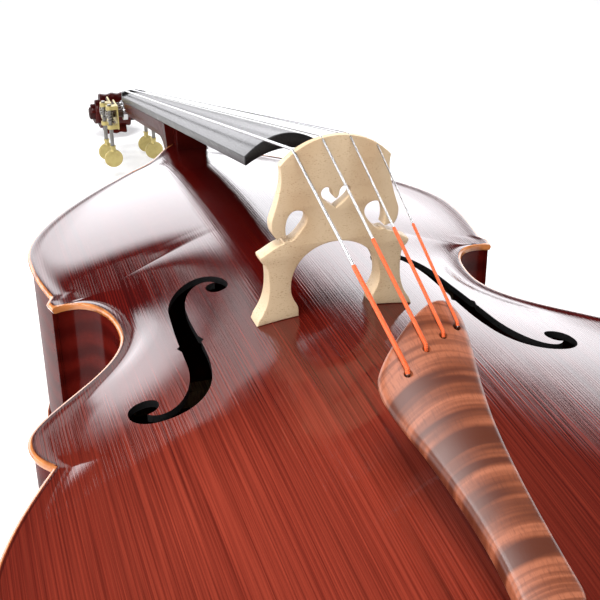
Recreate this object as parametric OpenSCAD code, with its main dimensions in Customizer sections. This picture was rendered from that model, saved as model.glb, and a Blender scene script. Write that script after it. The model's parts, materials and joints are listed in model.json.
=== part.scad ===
// Double bass lying on its flat back: +X treble side, +Y towards the scroll, +Z out of the belly.
// The origin is on the resting face of the back, straight under the bridge.

/* [Body] */
// Distance from the bridge to the body's upper edge
body_stop = 618; // [560:1:680]
// Distance from the bridge to the body's lower edge
body_tail = 496; // [450:1:545]
// Width over the upper bout
upper_w = 513; // [470:1:560]
// Width over the waist
waist_w = 379; // [350:1:415]
// Width over the lower bout
lower_w = 676; // [620:1:740]
// Height of the ribs under the bridge
rib_h = 199; // [175:1:225]
// Thickness of the ribs
rib_t = 2.2; // [1.8:0.1:3]
// How far the plates stand out past the ribs
overhang = 4; // [2:0.5:6]
// Thickness of the back plate
back_t = 6; // [4:0.5:8]
// Thickness of the belly
belly_t = 7; // [5:0.5:9]
// Height of the belly's arch above its edge
arch_h = 37; // [25:1:45]
// Where the flat back bends towards the neck
cant_y = 435; // [400:1:470]
// Angle of the back's upper part
cant_angle = 10.5; // [7:0.5:11.5]

/* [Neck and fingerboard] */
// Distance from the bridge to the nut
string_stop = 1061; // [1000:1:1110]
// Distance from the bridge to the fingerboard's free end
board_gap = 136; // [110:1:180]
// Half width of the fingerboard at its free end
board_hw = 43.5; // [38:0.5:48]
// Half width of the fingerboard at the nut
nut_hw = 21; // [19:0.5:24]
// Thickness of the fingerboard along its edges
board_edge = 10; // [7:0.5:13]
// Height of the board's crown over its edges at the free end
board_crown = 20; // [14:0.5:24]
// Height of the board's underside over the belly's edge at its free end
board_rise = 132; // [120:1:145]
// Fall of the board per millimetre towards the nut
board_slope = 0.2076; // [0.19:0.001:0.22]
// Depth of the neck behind the board at the nut
neck_depth = 32; // [28:1:38]

/* [Strings and fittings] */
// Height of the bridge over the belly's edge
bridge_h = 204; // [190:1:215]
// Distance between the outer strings on the bridge
bridge_spread = 76; // [66:1:84]
// Thickness of the bridge at its feet
bridge_foot_t = 22; // [18:1:26]
// Thickness of the bridge at its top
bridge_top_t = 6; // [4:0.5:8]
// Distance between the outer strings at the nut
nut_spread = 31; // [27:1:34]
// Diameters of the strings from the lowest to the highest
string_d = [2.7, 2.2, 1.8, 1.4];
// Thickness of the tailpiece
tailpiece_t = 15; // [12:0.5:20]
// Diameter of the tail wire
wire_d = 4; // [3:0.5:5]
// Diameter of the endpin rod
endpin_d = 10; // [8:0.5:16]
// Length of the endpin rod
endpin_len = 400; // [360:5:440]
// Length of rod that stands out of the collar at rest
endpin_out = 34; // [30:1:60]

/* [Head and tuning machines] */
// Half width of the pegbox
pegbox_hw = 28; // [26:0.5:32]
// Thickness of the pegbox's cheeks
cheek_t = 10; // [8:0.5:12]
// Distance from the nut to the first roller
roller_first = 47; // [44:1:52]
// Distance from one roller to the next
roller_pitch = 40; // [36:1:42]
// Radius of a roller's barrel
roller_r = 9; // [8:0.5:10]
// Radius of a roller's journal
journal_r = 7; // [6:0.5:7.5]
// Teeth on a gear
gear_teeth = 20; // [16:1:24]
// Module of the gears
gear_module = 1.6; // [1.4:0.05:1.7]
// Radius of a worm's shaft
worm_shaft_r = 3.5; // [3:0.25:4]
// How far a key's middle hangs below the pegbox's back
key_drop = 11.5; // [11:0.5:14]
// Gap between a machine's plate and its worm's thread
worm_gap = 5.5; // [5:0.25:7]
// Diameter of a key's disc
key_d = 34; // [28:1:36]
// Radius of the scroll's outer turn
scroll_r = 46; // [38:1:48]

/* [Fits] */
// Gap all round a shaft that turns or slides
run_fit = 0.05; // [0.02:0.01:0.1]
// Gap round a string in its notch in the nut
string_ease = 0.03; // [0.02:0.01:0.1]
// Gap between moving pieces that pass each other
pass_gap = 0.4; // [0.3:0.1:1]

/* [Hidden] */
$fn = 48;

// Colours
varnish = [0.30, 0.06, 0.03];
dark_varnish = [0.20, 0.05, 0.03];
spruce = [0.80, 0.66, 0.45];
maple = [0.84, 0.72, 0.53];
flamed = [0.68, 0.42, 0.22];
ebony = [0.06, 0.06, 0.06];
steel = [0.70, 0.70, 0.72];
brass = [0.83, 0.71, 0.42];
silk_red = [0.85, 0.25, 0.08];
rubber_black = [0.05, 0.05, 0.05];

// Levels over the resting face
rib_top = back_t + rib_h;
edge_z = rib_top + belly_t;
rim_w = 14;

// ---- Curves -------------------------------------------------------------------------------------

// Point at t on a cubic curve given by its two ends and their two handles
function bezier(c, t) = pow(1 - t, 3) * c[0] + 3 * t * pow(1 - t, 2) * c[1]
    + 3 * t * t * (1 - t) * c[2] + pow(t, 3) * c[3];
// Points along a cubic curve, without the last one
function run(c, n) = [for (i = [0:n - 1]) bezier(c, i / n)];
function flip(path) = [for (p = path) [-p.x, p.y]];
function backwards(path) = [for (i = [len(path) - 1:-1:0]) path[i]];
function part_of(path, a, b) = [for (i = [a:b]) path[i]];
function blend(a, b, t) = a + (b - a) * t;
function smooth(t) = t * t * (3 - 2 * t);
// Inward unit normal of the edge from a to b, for a half outline that runs from top to bottom
function edge_normal(a, b) = [b.y - a.y, a.x - b.x] / norm(b - a);
// The half outline moved inwards by d, with mitred corners
function inset(path, d) = [for (i = [0:len(path) - 1])
    let (
        n1 = edge_normal(path[max(i - 1, 0)], path[max(i, 1)]),
        last = len(path) - 1,
        n2 = edge_normal(path[min(i, last - 1)], path[min(i + 1, last)])
    ) path[i] + d * (n1 + n2) / (1 + n1 * n2)];

// ---- Outline of the body ------------------------------------------------------------------------

// Places on the outline as shares of the bout's half width and of the length to that end
function up(x, y) = [x * upper_w / 2, y * body_stop];
function mid(x, y) = [x * waist_w / 2, y * body_stop];
function low(x, y) = [x * lower_w / 2, y * body_tail];
heel_hw = 24;
corner_up = up(0.951, 0.286);
corner_up_tip = up(0.971, 0.267);
corner_up_in = up(0.955, 0.243);
waist = mid(1, 0.129);
corner_low_in = low(0.862, -0.169);
corner_low = low(0.817, -0.254);
// Each row: a cubic curve, its number of steps, and the spine places that its ends face
outline_rows = [
    [[[heel_hw, body_stop], [52, body_stop - 28], [55, body_stop - 63], up(0.394, 0.845)],
        6, 1, 0.915],
    [[up(0.394, 0.845), up(0.526, 0.793), up(1, 0.607), up(1, 0.453)], 12, 0.915, 0.5],
    [[up(1, 0.453), up(1, 0.38), up(0.975, 0.332), corner_up], 6, 0.5, 0.42],
    [[corner_up, blend(corner_up, corner_up_tip, 0.3), blend(corner_up, corner_up_tip, 0.7),
        corner_up_tip], 1, 0.42, 0.412],
    [[corner_up_tip, blend(corner_up_tip, corner_up_in, 0.3),
        blend(corner_up_tip, corner_up_in, 0.7), corner_up_in], 1, 0.412, 0.404],
    [[corner_up_in, up(0.838, 0.265), mid(1, 0.227), waist], 9, 0.404, 0.129],
    [[waist, mid(1, 0.016), low(0.852, -0.091), corner_low_in], 9, 0.129, -0.26],
    [[corner_low_in, low(0.867, -0.196), low(0.858, -0.226), corner_low], 3, -0.26, -0.32],
    [[corner_low, low(0.87, -0.319), low(1, -0.454), low(1, -0.605)], 8, -0.32, -0.62],
    [[low(1, -0.605), low(1, -0.847), low(0.636, -1), [12, -body_tail]], 14, -0.62, -1]];
half = [for (row = outline_rows) each run(row[0], row[1]), [12, -body_tail]];
// Spine place faced by each point of the outline
function spine_y(s) = s > 0 ? s * body_stop : s * body_tail;
spine = [for (row = outline_rows) each
    [for (i = [0:row[1] - 1]) spine_y(blend(row[2], row[3], i / row[1]))], -body_tail];
tip_up = 25;
tip_low = 45;
last_row = len(half) - 1;
rib_out = inset(half, overhang);
rib_in = inset(half, overhang + rib_t);
lining_in = inset(half, overhang + rib_t + 6);

function whole(path) = concat(path, backwards(flip(path)));
module filled(path, z0, z1) {
    translate([0, 0, z0]) linear_extrude(z1 - z0) polygon(whole(path));
}

// ---- Arch of the belly --------------------------------------------------------------------------

// Height of the arch along the spine
function long_arch(y) = let (s = y > 60 ? (y - 60) / (body_stop - 88) : (60 - y) / (body_tail + 14))
    arch_h * max(0, 1 - pow(abs(s), 2.3));
// Share of the arch at distance d from the outline on a row of length w
function cross_arch(d, w) = let (r = min(rim_w, 0.4 * w)) smooth(pow(max(0, (d - r) / (w - r)), 0.7));
// Row's end on the outline's side at a place on the spine
function row_at(y) = [for (i = [1:last_row]) if (spine[i] <= y && spine[i - 1] > y) i][0];
// Height of the belly's outer face over the belly's edge, at a place near the middle
function belly_rise(x, y) = let (
        i = row_at(y),
        t = (spine[i - 1] - y) / (spine[i - 1] - spine[i]),
        p = blend(half[i - 1], half[i], t),
        w = norm(p - [0, y])
    ) long_arch(y) * cross_arch(w - abs(x) * w / p.x, w);
row_steps = [0, 0.5, 1, 1.9, 2.9, 4.1, 5.5, 7, 8];
function row_d(w, j) = let (r = min(rim_w, 0.4 * w))
    row_steps[j] <= 1 ? r * row_steps[j] : r + (w - r) * (row_steps[j] - 1) / 7;
cols = len(row_steps) - 1;
belly_points = [for (i = [0:last_row]) for (j = [-cols:cols])
    let (
        p = half[i],
        s = [0, spine[i]],
        w = norm(p - s),
        d = row_d(w, cols - abs(j)),
        q = blend(p, s, d / w)
    ) [j < 0 ? -q.x : q.x, q.y, long_arch(spine[i]) * cross_arch(d, w)]];
row_len = 2 * cols + 1;
belly_count = len(belly_points);
function at(i, j, under) = i * row_len + j + (under ? belly_count : 0);
belly_faces = [
    for (i = [0:last_row - 1]) for (j = [0:row_len - 2]) each [
        [at(i, j, false), at(i, j + 1, false), at(i + 1, j + 1, false)],
        [at(i, j, false), at(i + 1, j + 1, false), at(i + 1, j, false)],
        [at(i, j, true), at(i + 1, j + 1, true), at(i, j + 1, true)],
        [at(i, j, true), at(i + 1, j, true), at(i + 1, j + 1, true)]],
    for (i = [0:last_row - 1]) each [
        [at(i, 0, false), at(i + 1, 0, false), at(i + 1, 0, true), at(i, 0, true)],
        [at(i, row_len - 1, true), at(i + 1, row_len - 1, true),
            at(i + 1, row_len - 1, false), at(i, row_len - 1, false)]],
    for (j = [0:row_len - 2]) each [
        [at(0, j, true), at(0, j + 1, true), at(0, j + 1, false), at(0, j, false)],
        [at(last_row, j, false), at(last_row, j + 1, false),
            at(last_row, j + 1, true), at(last_row, j, true)]]];

// Outline of the treble sound hole
f_curves = [
    [[[141, 75], [138, 100], [121, 122], [103, 122]], 6],
    [[[103, 122], [89, 122], [77, 108], [77, 92]], 5],
    [[[77, 92], [77, 77], [98, 75], [99, 93]], 7],
    [[[99, 93], [99, 101], [93, 103], [88, 101]], 3],
    [[[88, 101], [96, 117], [122, 112], [126, 62]], 7],
    [[[126, 62], [127, 45], [127, 20], [126.5, 3]], 4],
    [[[123.5, 0], [124.5, -1], [125.5, -2], [126.5, -3]], 1],
    [[[126.5, -3], [127, -20], [126, -40], [132, -66]], 4],
    [[[132, -66], [138, -92], [156, -110], [181, -110]], 6],
    [[[181, -110], [199, -110], [210, -99], [209, -84]], 5],
    [[[209, -84], [208, -64], [180, -66], [182, -82]], 6],
    [[[182, -82], [183, -89], [188, -92], [194, -92]], 3],
    [[[194, -92], [180, -112], [151, -90], [147.5, -40]], 7],
    [[[147.5, -40], [147, -25], [146.5, -15], [146, -3]], 3],
    [[[149, 0], [148, 1], [147, 2], [146, 3]], 1],
    [[[146, 3], [145, 30], [143, 50], [141, 75]], 4]];
function closed(curves) = [for (c = curves) each run(c[0], c[1])];
f_scale = [waist_w / 379, 1];
module sound_hole() {
    polygon([for (p = closed(f_curves)) [p.x * f_scale.x, p.y * f_scale.y]]);
}

// ---- Lofted solids ------------------------------------------------------------------------------

// Closed solid through rings that all have the same number of points
module loft(rings) {
    n = len(rings[0]);
    m = len(rings);
    polyhedron(
        points = [for (r = rings) each r],
        faces = [
            [for (i = [n - 1:-1:0]) i],
            for (k = [0:m - 2]) for (i = [0:n - 1]) each let (
                a = k * n + i,
                b = k * n + (i + 1) % n
            ) [[a, b, b + n], [a, b + n, a + n]],
            [for (i = [0:n - 1]) (m - 1) * n + i]]);
}

// Trough-shaped section across the neck: flat top, sides that close in, rounded back
function trough(y, top, bottom, hw, hwb, rx, rz, n = 6) = concat(
    [[-hw, y, top], [-hwb, y, bottom + rz]],
    [for (i = [1:n]) [-hwb + rx * (1 - cos(i * 90 / n)), y, bottom + rz * (1 - sin(i * 90 / n))]],
    [for (i = [n:-1:1]) [hwb - rx * (1 - cos(i * 90 / n)), y, bottom + rz * (1 - sin(i * 90 / n))]],
    [[hwb, y, bottom + rz], [hw, y, top]]);

// ---- Body ---------------------------------------------------------------------------------------

tenon_hw = 19;
tenon_l = 26;
saddle_hw = 27;
saddle_l = 15;

module top_plate() {
    color(varnish) difference() {
        translate([0, 0, rib_top]) polyhedron(
            points = concat(
                [for (p = belly_points) p + [0, 0, belly_t]],
                belly_points),
            faces = belly_faces);
        for (side = [0, 1]) mirror([side, 0, 0])
            translate([0, 0, rib_top - 5]) linear_extrude(arch_h + 20) sound_hole();
        tenon(rib_top - 5, edge_z + 60);
        translate([-saddle_hw, -body_tail - 1, rib_top - 1])
            cube([2 * saddle_hw, saddle_l + 1, belly_t + 30]);
    }
}

module tenon(z0, z1) {
    translate([-tenon_hw, body_stop - tenon_l, z0]) cube([2 * tenon_hw, tenon_l + 1, z1 - z0]);
}

// Layer that follows the inside of the back, from a to b above it, flat and then canted
module back_layer(a, b) {
    translate([-500, -body_tail - 100, back_t + a]) cube([1000, body_tail + 100 + cant_y, b - a]);
    translate([0, cant_y, back_t]) rotate([cant_angle, 0, 0])
        translate([-500, -2, a]) cube([1000, 400, b - a]);
}

module back_plate() {
    color(varnish) intersection() {
        union() {
            filled(half, 0, 120);
            translate([0, body_stop, 0]) cylinder(r = heel_hw - 1, h = 120);
        }
        back_layer(-back_t, 0);
    }
}

module rib(a, b, side) {
    ends = b == last_row ? [[[0, -body_tail + overhang]], [[0, -body_tail + overhang + rib_t]]]
        : [[], []];
    loop = concat(part_of(rib_out, a, b), ends[0], ends[1], backwards(part_of(rib_in, a, b)));
    color(varnish) intersection() {
        mirror([side, 0, 0]) difference() {
            linear_extrude(rib_top) polygon(loop);
            if (b == last_row) endpin_bore(collar_plug_r);
        }
        back_layer(0, rib_h + 200);
    }
}

// Strips that widen the ribs' edges, inside the three bouts of each side
lining_spans = [[4, 21], [29, 42], [50, 62]];
module lining_strips() {
    for (span = lining_spans) for (side = [0, 1]) mirror([side, 0, 0])
        linear_extrude(rib_top) polygon(concat(
            part_of(rib_in, span[0], span[1]),
            backwards(part_of(lining_in, span[0], span[1]))));
}
lining_h = 18;

module linings_front() {
    color(spruce) intersection() {
        lining_strips();
        translate([-500, -600, rib_top - lining_h]) cube([1000, 1400, lining_h]);
    }
}

module linings_back() {
    color(spruce) intersection() {
        lining_strips();
        back_layer(0, lining_h);
    }
}

block_depth = 55;
block_hw = 75;
module neck_block() {
    color(spruce) intersection() {
        difference() {
            filled(rib_in, 0, rib_top);
            tenon(0, rib_top + 1);
        }
        translate([-block_hw, body_stop - block_depth, 0]) cube([2 * block_hw, block_depth, 400]);
        back_layer(0, rib_h + 200);
    }
}

module end_block() {
    color(spruce) intersection() {
        difference() {
            linear_extrude(rib_top) polygon(whole(concat(rib_in, [[0, rib_in[last_row].y]])));
            endpin_bore(collar_plug_r);
        }
        translate([-block_hw, -body_tail, back_t]) cube([2 * block_hw, 46, rib_h]);
    }
}

corner_block_in = 40;
module corner_blocks() {
    color(spruce) for (span = [[22, 28, 24], [43, 49, 47]]) for (side = [0, 1]) mirror([side, 0, 0])
        translate([0, 0, back_t]) linear_extrude(rib_h) polygon(concat(
            part_of(rib_in, span[0], span[1]),
            [rib_in[span[2]] - [corner_block_in, 0]]));
}

brace_h = 20;
brace_w = 22;
brace_places = [0.42 * body_stop, -0.06 * body_tail, -0.58 * body_tail];
post_at = [45, -0.06 * body_tail];
post_r = 9.5;
module back_braces() {
    color(spruce) intersection() {
        filled(lining_in, back_t, back_t + brace_h);
        for (i = [0:2]) {
            w = i == 1 ? 90 : brace_w;
            translate([-400, brace_places[i] - w / 2, back_t]) cube([800, w, i == 1 ? 8 : brace_h]);
        }
    }
}

module bass_bar() {
    bar_x = 45;
    y0 = -0.62 * body_tail;
    y1 = 0.5 * body_stop;
    n = 16;
    top_line = [for (i = [0:n]) let (y = blend(y0, y1, i / n))
        [y, rib_top + belly_rise(bar_x + 6, y) - 1]];
    under_line = [for (i = [n:-1:0]) let (t = i / n)
        [top_line[i].x, top_line[i].y - 8 - 26 * sin(180 * t)]];
    color(spruce) translate([-bar_x + 6, 0, 0]) rotate([90, 0, -90]) mirror([1, 0, 0])
        linear_extrude(12) polygon(concat(top_line, under_line));
}

module sound_post() {
    foot = back_t + 8;
    head = rib_top + belly_rise(post_at.x + post_r, post_at.y) - 0.6;
    color(spruce) translate([post_at.x, post_at.y, foot]) cylinder(r = post_r, h = head - foot);
}

// ---- Neck, fingerboard and nut ------------------------------------------------------------------

function board_z(y) = edge_z + board_rise - board_slope * (y - board_gap);
function board_half(y) = blend(board_hw, nut_hw, (y - board_gap) / (string_stop - board_gap));
function board_top(y) = blend(board_crown, 6, (y - board_gap) / (string_stop - board_gap));
function back_in(y) = back_t + max(0, y - cant_y) * tan(cant_angle);
graft_y = string_stop - 16;
heel_t = 24;

// Sections of the neck: place past the body's edge, share of the drop to the back, half width at the
// back, and how round the back is
heel_rows = [[0, 1, 17], [heel_t - 4, 1, 16], [heel_t, 0.93, 16.5], [heel_t + 3, 0.72, 18],
    [heel_t + 8, 0.48, 19.5], [heel_t + 17, 0.26, 21.5], [heel_t + 32, 0.1, 24],
    [heel_t + 55, 0.02, 26]];
function neck_back(y) = board_z(y) - blend(neck_depth + 6, neck_depth,
    (y - body_stop) / (string_stop - body_stop));
module neck() {
    rings = concat(
        [for (r = heel_rows) let (
                y = body_stop + r[0],
                z = blend(neck_back(y), back_in(y), r[1]),
                hw = board_half(y)
            ) trough(y, board_z(y), z, hw, min(hw, r[2]) + 3 * (1 - r[1]), min(hw, r[2]) * 0.9,
                blend(34, 10, r[1]))],
        [for (y = [body_stop + heel_t + 90, (body_stop + graft_y) / 2, graft_y]) let (hw = board_half(y))
            trough(y, board_z(y), neck_back(y), hw, hw, hw * 0.98, (board_z(y) - neck_back(y)) * 0.8)]);
    color(dark_varnish) {
        loft(rings);
        intersection() {
            tenon(0, edge_z + 200);
            rotate([90, 0, 90]) translate([0, 0, -tenon_hw]) linear_extrude(2 * tenon_hw)
                polygon([
                    [body_stop - tenon_l, back_in(body_stop - tenon_l)],
                    [body_stop, back_in(body_stop)],
                    [body_stop, board_z(body_stop)],
                    [body_stop - tenon_l, board_z(body_stop - tenon_l)]]);
        }
    }
}

module fingerboard() {
    hollow_end = body_stop - 20;
    n = 12;
    rings = [for (y = [board_gap, hollow_end, hollow_end + 20, string_stop]) let (
            hw = board_half(y),
            z = board_z(y),
            hollow = y < hollow_end + 1 ? blend(14, 7, (y - board_gap) / (hollow_end - board_gap)) : 0
        ) concat(
            [for (i = [0:n]) let (x = cos(180 * i / n)) [hw * x, y, z + board_edge + board_top(y) * (1 - x * x)]],
            [for (i = [0:6]) let (x = i / 3 - 1) [hw * x, y, z + hollow * (1 - x * x)]])];
    color(ebony) loft(rings);
}

nut_t = 8;
function nut_crown(x) = board_z(string_stop) + board_edge + 9 - 3 * pow(x / nut_hw, 2);
module nut() {
    n = 8;
    foot = board_z(string_stop + nut_t);
    color(ebony) difference() {
        translate([0, string_stop + nut_t, 0]) rotate([90, 0, 0]) linear_extrude(nut_t)
            polygon(concat(
                [for (i = [0:n]) let (x = blend(nut_hw, -nut_hw, i / n)) [x, nut_crown(x)]],
                [[-nut_hw, foot - 1], [nut_hw, foot - 1]]));
        rotate([90, 0, 90]) translate([0, 0, -40]) linear_extrude(80) polygon([
            [string_stop - 1, board_z(string_stop - 1)],
            [string_stop - 1, foot - 5],
            [string_stop + nut_t + 1, foot - 5],
            [string_stop + nut_t + 1, board_z(string_stop + nut_t + 1)]]);
        for (i = [0:3]) tube(string_way(i), string_d[i] / 2 + string_ease, 8);
    }
}

// ---- Head ---------------------------------------------------------------------------------------

pegbox_end = string_stop + 228;
function pegbox_top(y) = y < string_stop + nut_t ? board_z(y) : board_z(string_stop + nut_t)
    - 0.2 * (y - string_stop - nut_t) - 0.45 * max(0, y - string_stop - 190);
function pegbox_back(y) = edge_z - 160 - 0.15 * (y - string_stop - 16);
trough_start = string_stop + nut_t + 6;
trough_end = pegbox_end - 22;
scroll_c = [string_stop + 277, scroll_r + 8];

// Sections of the head: place past the nut, share of the way down to the pegbox's back, half width,
// and how round the back is
head_rows = [[-16, 0, nut_hw, 20], [-9, 0.1, 22, 20], [-3, 0.3, 24, 20], [3, 0.58, 26, 20],
    [8, 0.8, pegbox_hw, 19], [16, 0.96, pegbox_hw, 16], [26, 1, pegbox_hw, 12]];
module pegbox_shell() {
    start_rz = (board_z(graft_y) - neck_back(graft_y)) * 0.8;
    rows = concat(
        [for (r = head_rows) let (y = string_stop + r[0], k = r[1])
            trough(y, pegbox_top(y), blend(neck_back(y), pegbox_back(y), k),
                r[0] == -16 ? board_half(y) : r[2], r[0] == -16 ? board_half(y) : r[2],
                r[0] == -16 ? board_half(y) * 0.98 : r[3], blend(start_rz, 12, min(1, k * 1.4)))],
        [for (r = [[190, 1, 8], [215, 0.9, 7], [245, 0.82, 7]]) let (y = string_stop + r[0])
            trough(y, pegbox_top(y), pegbox_back(y), pegbox_hw * r[1], pegbox_hw * r[1], r[2], r[2])]);
    loft(rows);
}

// One turn of the scroll from angle a0, 350 degrees long, wider as it closes in
function turn_r(a) = scroll_r * pow(0.70, a / 360);
function turn_hw(a) = 22 + 9.5 * a / 360;
module scroll_turn(a0, hub) {
    steps = 22;
    loft([for (k = [0:steps]) let (
            a = a0 + 350 * k / steps,
            r = turn_r(a),
            w = turn_hw(a),
            dir = [0, cos(a - 115), sin(a - 115)]
        ) [for (q = [[hub, -w], [r - 3, -w], [r, -w + 3], [r - 2.5, -w * 0.5], [r, 0],
            [r - 2.5, w * 0.5], [r, w - 3], [r - 3, w], [hub, w]]) q[0] * dir + [q[1], scroll_c[0], scroll_c[1]]]]);
}

module pegbox_scroll() {
    color(dark_varnish) difference() {
        union() {
            pegbox_shell();
            for (k = [0:2]) scroll_turn(k * 340, 4 + 2.5 * k);
            translate([-50, scroll_c[0], scroll_c[1]]) rotate([0, 90, 0]) cylinder(r = 13, h = 100);
        }
        pegbox_trough();
        for (m = MACHINES) roller_seats(m);
    }
}

module pegbox_trough() {
    floor_t = 14;
    rotate([90, 0, 90]) translate([0, 0, -(pegbox_hw - cheek_t)])
        linear_extrude(2 * (pegbox_hw - cheek_t)) polygon([
            [trough_start, pegbox_top(trough_start) + 20],
            [trough_start, pegbox_back(trough_start) + floor_t + 14],
            [trough_start + 12, pegbox_back(trough_start) + floor_t],
            [trough_end - 34, pegbox_back(trough_end) + floor_t],
            [trough_end, pegbox_top(trough_end) - 12],
            [trough_end, pegbox_top(trough_end) + 20]]);
}

// ---- Tuning machines ----------------------------------------------------------------------------

// Each row: side (-1 bass, 1 treble), number along the pegbox, string number
E = [-1, 0, 0];
A = [-1, 2, 1];
D = [1, 3, 2];
G = [1, 1, 3];
MACHINES = [E, A, D, G];
plate_t = 2.5;
gear_t = 4;
gear_r = gear_module * gear_teeth / 2;
tooth_out = 0.8 * gear_module;
tooth_in = 1.1 * gear_module;
worm_pitch_r = 5;
thread_r = worm_pitch_r + 0.8 * gear_module;
worm_root_r = worm_pitch_r - 0.9 * gear_module;
mesh_y = gear_r + worm_pitch_r + 0.2;
worm_x = pegbox_hw + plate_t + worm_gap + thread_r;
gear_stub_r = 5;
worm_turns = 5;
thread_pitch = PI * gear_module;
bracket_t = 7;
bracket_gap = worm_turns * thread_pitch / 2 + 2;
plate_hh = bracket_gap + bracket_t + 0.5;
function roller_y(m) = string_stop + roller_first + m[1] * roller_pitch;
function roller_z(m) = edge_z - 94 - 0.2 * m[1] * roller_pitch;
function worm_y(m) = roller_y(m) - mesh_y;
function key_reach(m) = roller_z(m) - pegbox_back(worm_y(m)) + key_drop;
seat_end = pegbox_hw - 2;

// Bores in the cheeks for one roller: through on its machine's side, blind on the other
module roller_seats(m) {
    s = m[0];
    translate([0, roller_y(m), roller_z(m)]) rotate([0, 90 * s, 0]) {
        cylinder(r = journal_r + run_fit, h = pegbox_hw + 5);
        translate([0, 0, -seat_end - pass_gap]) cylinder(r = gear_stub_r + run_fit, h = seat_end);
    }
}

module roller(m) {
    barrel = pegbox_hw - cheek_t - pass_gap;
    color(ebony) translate([0, roller_y(m), roller_z(m)]) rotate([0, 90 * m[0], 0]) {
        translate([0, 0, -barrel]) cylinder(r = roller_r, h = 2 * barrel);
        cylinder(r = journal_r, h = worm_x - gear_t / 2);
        cylinder(r = gear_stub_r, h = worm_x + gear_t / 2);
        translate([0, 0, -seat_end]) cylinder(r = gear_stub_r, h = seat_end);
    }
}

module gear(m) {
    tooth = 360 / gear_teeth;
    color(brass) translate([m[0] * (worm_x - gear_t / 2), roller_y(m), roller_z(m)])
        rotate([0, 90 * m[0], 0]) linear_extrude(gear_t) difference() {
            union() {
                circle(r = gear_r - tooth_in);
                for (i = [0:gear_teeth - 1]) rotate(90 + i * tooth) polygon([
                    [gear_r - tooth_in - 1, -1.25], [gear_r + tooth_out, -0.45],
                    [gear_r + tooth_out, 0.45], [gear_r - tooth_in - 1, 1.25]]);
            }
            circle(r = gear_stub_r);
        }
}

module gear_screw(m) {
    color(steel) translate([m[0] * (worm_x + gear_t / 2), roller_y(m), roller_z(m)])
        rotate([0, 90 * m[0], 0]) difference() {
            cylinder(r = gear_stub_r + 1.5, h = 2.5);
            translate([-10, -0.6, 1.3]) cube([20, 1.2, 3]);
        }
}

winding_w = 8;
function winding_x(m) = -12 + 8 * m[2];
function winding_r(m) = roller_r + 1.6 * string_d[m[2]];
module winding(m) {
    color(steel) translate([winding_x(m) - winding_w / 2, roller_y(m), roller_z(m)])
        rotate([0, 90, 0]) difference() {
            cylinder(r = winding_r(m), h = winding_w);
            translate([0, 0, -1]) cylinder(r = roller_r, h = winding_w + 2);
        }
}

// Helical thread around Z, its crest a half pitch above the middle on the side that faces the gear
module thread() {
    steps = 16;
    last = (worm_turns - 1) * steps;
    loft([for (k = [0:last]) let (
            a = 360 * k / steps - 90,
            z = thread_pitch * (k / steps - worm_turns / 2 + 0.5),
            lean = min(1, k / 6, (last - k) / 6),
            out = blend(worm_root_r + 0.2, thread_r, lean),
            dir = [cos(a), sin(a), 0]
        ) [
            (worm_root_r - 0.8) * dir + [0, 0, z - 1.35],
            out * dir + [0, 0, z - 0.5],
            out * dir + [0, 0, z + 0.5],
            (worm_root_r - 0.8) * dir + [0, 0, z + 1.35]]]);
}

module worm(m) {
    shaft_top = bracket_gap + bracket_t + 3;
    color(steel) translate([m[0] * worm_x, worm_y(m), roller_z(m)]) {
        translate([0, 0, key_d / 2 - 3 - key_reach(m)])
            cylinder(r = worm_shaft_r, h = key_reach(m) - key_d / 2 + 3 + shaft_top);
        translate([0, 0, -bracket_gap + pass_gap]) cylinder(r = worm_root_r, h = 2 * (bracket_gap - pass_gap));
        thread();
    }
}

module key(m) {
    collar_h = 12;
    translate([m[0] * worm_x, worm_y(m), roller_z(m) - key_reach(m)]) color(brass) difference() {
        union() {
            rotate([90, 0, 0]) translate([0, 0, -2]) cylinder(r = key_d / 2, h = 4);
            translate([0, 0, key_d / 2 - 4]) cylinder(r = worm_shaft_r + 2, h = collar_h);
        }
        translate([0, 0, key_d / 2 - 3]) cylinder(r = worm_shaft_r, h = collar_h + 2);
    }
}

// Plate on one cheek with two brackets for each worm's shaft
module machine_plate(side) {
    own = [for (m = MACHINES) if (m[0] == side) m];
    ys = [for (m = own) roller_y(m)];
    x0 = side < 0 ? -pegbox_hw - plate_t : pegbox_hw;
    color(brass) difference() {
        union() {
            for (m = own) {
                translate([x0, worm_y(m) - 9, roller_z(m) - plate_hh])
                    cube([plate_t, mesh_y + 24, 2 * plate_hh]);
                for (up_down = [-1, 1])
                    translate([side * (worm_x + pegbox_hw) / 2, worm_y(m),
                        roller_z(m) + up_down * (bracket_gap + bracket_t / 2)])
                        cube([worm_x - pegbox_hw, 13, bracket_t], center = true);
                for (up_down = [-1, 1]) translate([side * worm_x, worm_y(m),
                    roller_z(m) + up_down * (bracket_gap + bracket_t / 2) - bracket_t / 2])
                    cylinder(r = 6.5, h = bracket_t);
            }
            translate([x0, min(ys), min([for (m = own) roller_z(m)]) - 5])
                cube([plate_t, max(ys) - min(ys), 14]);
        }
        for (m = own) {
            translate([0, roller_y(m), roller_z(m)]) rotate([0, 90 * side, 0])
                cylinder(r = journal_r + pass_gap, h = 80);
            translate([side * worm_x, worm_y(m), roller_z(m) - 60])
                cylinder(r = worm_shaft_r + run_fit, h = 120);
        }
    }
}

screw_places = [for (m = MACHINES) for (dy = [0, 11]) for (dz = [4 - plate_hh, plate_hh - 4])
    [m[0], roller_y(m) + dy, roller_z(m) + dz]];
module plate_screws() {
    color(steel) for (p = screw_places)
        translate([p[0] * (pegbox_hw + plate_t), p[1], p[2]]) rotate([0, 90 * p[0], 0]) difference() {
            cylinder(r1 = 3.2, r2 = 2.2, h = 1.2);
            translate([-4, -0.35, 0.7]) cube([8, 0.7, 1]);
        }
}

// ---- Bridge -------------------------------------------------------------------------------------

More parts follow.
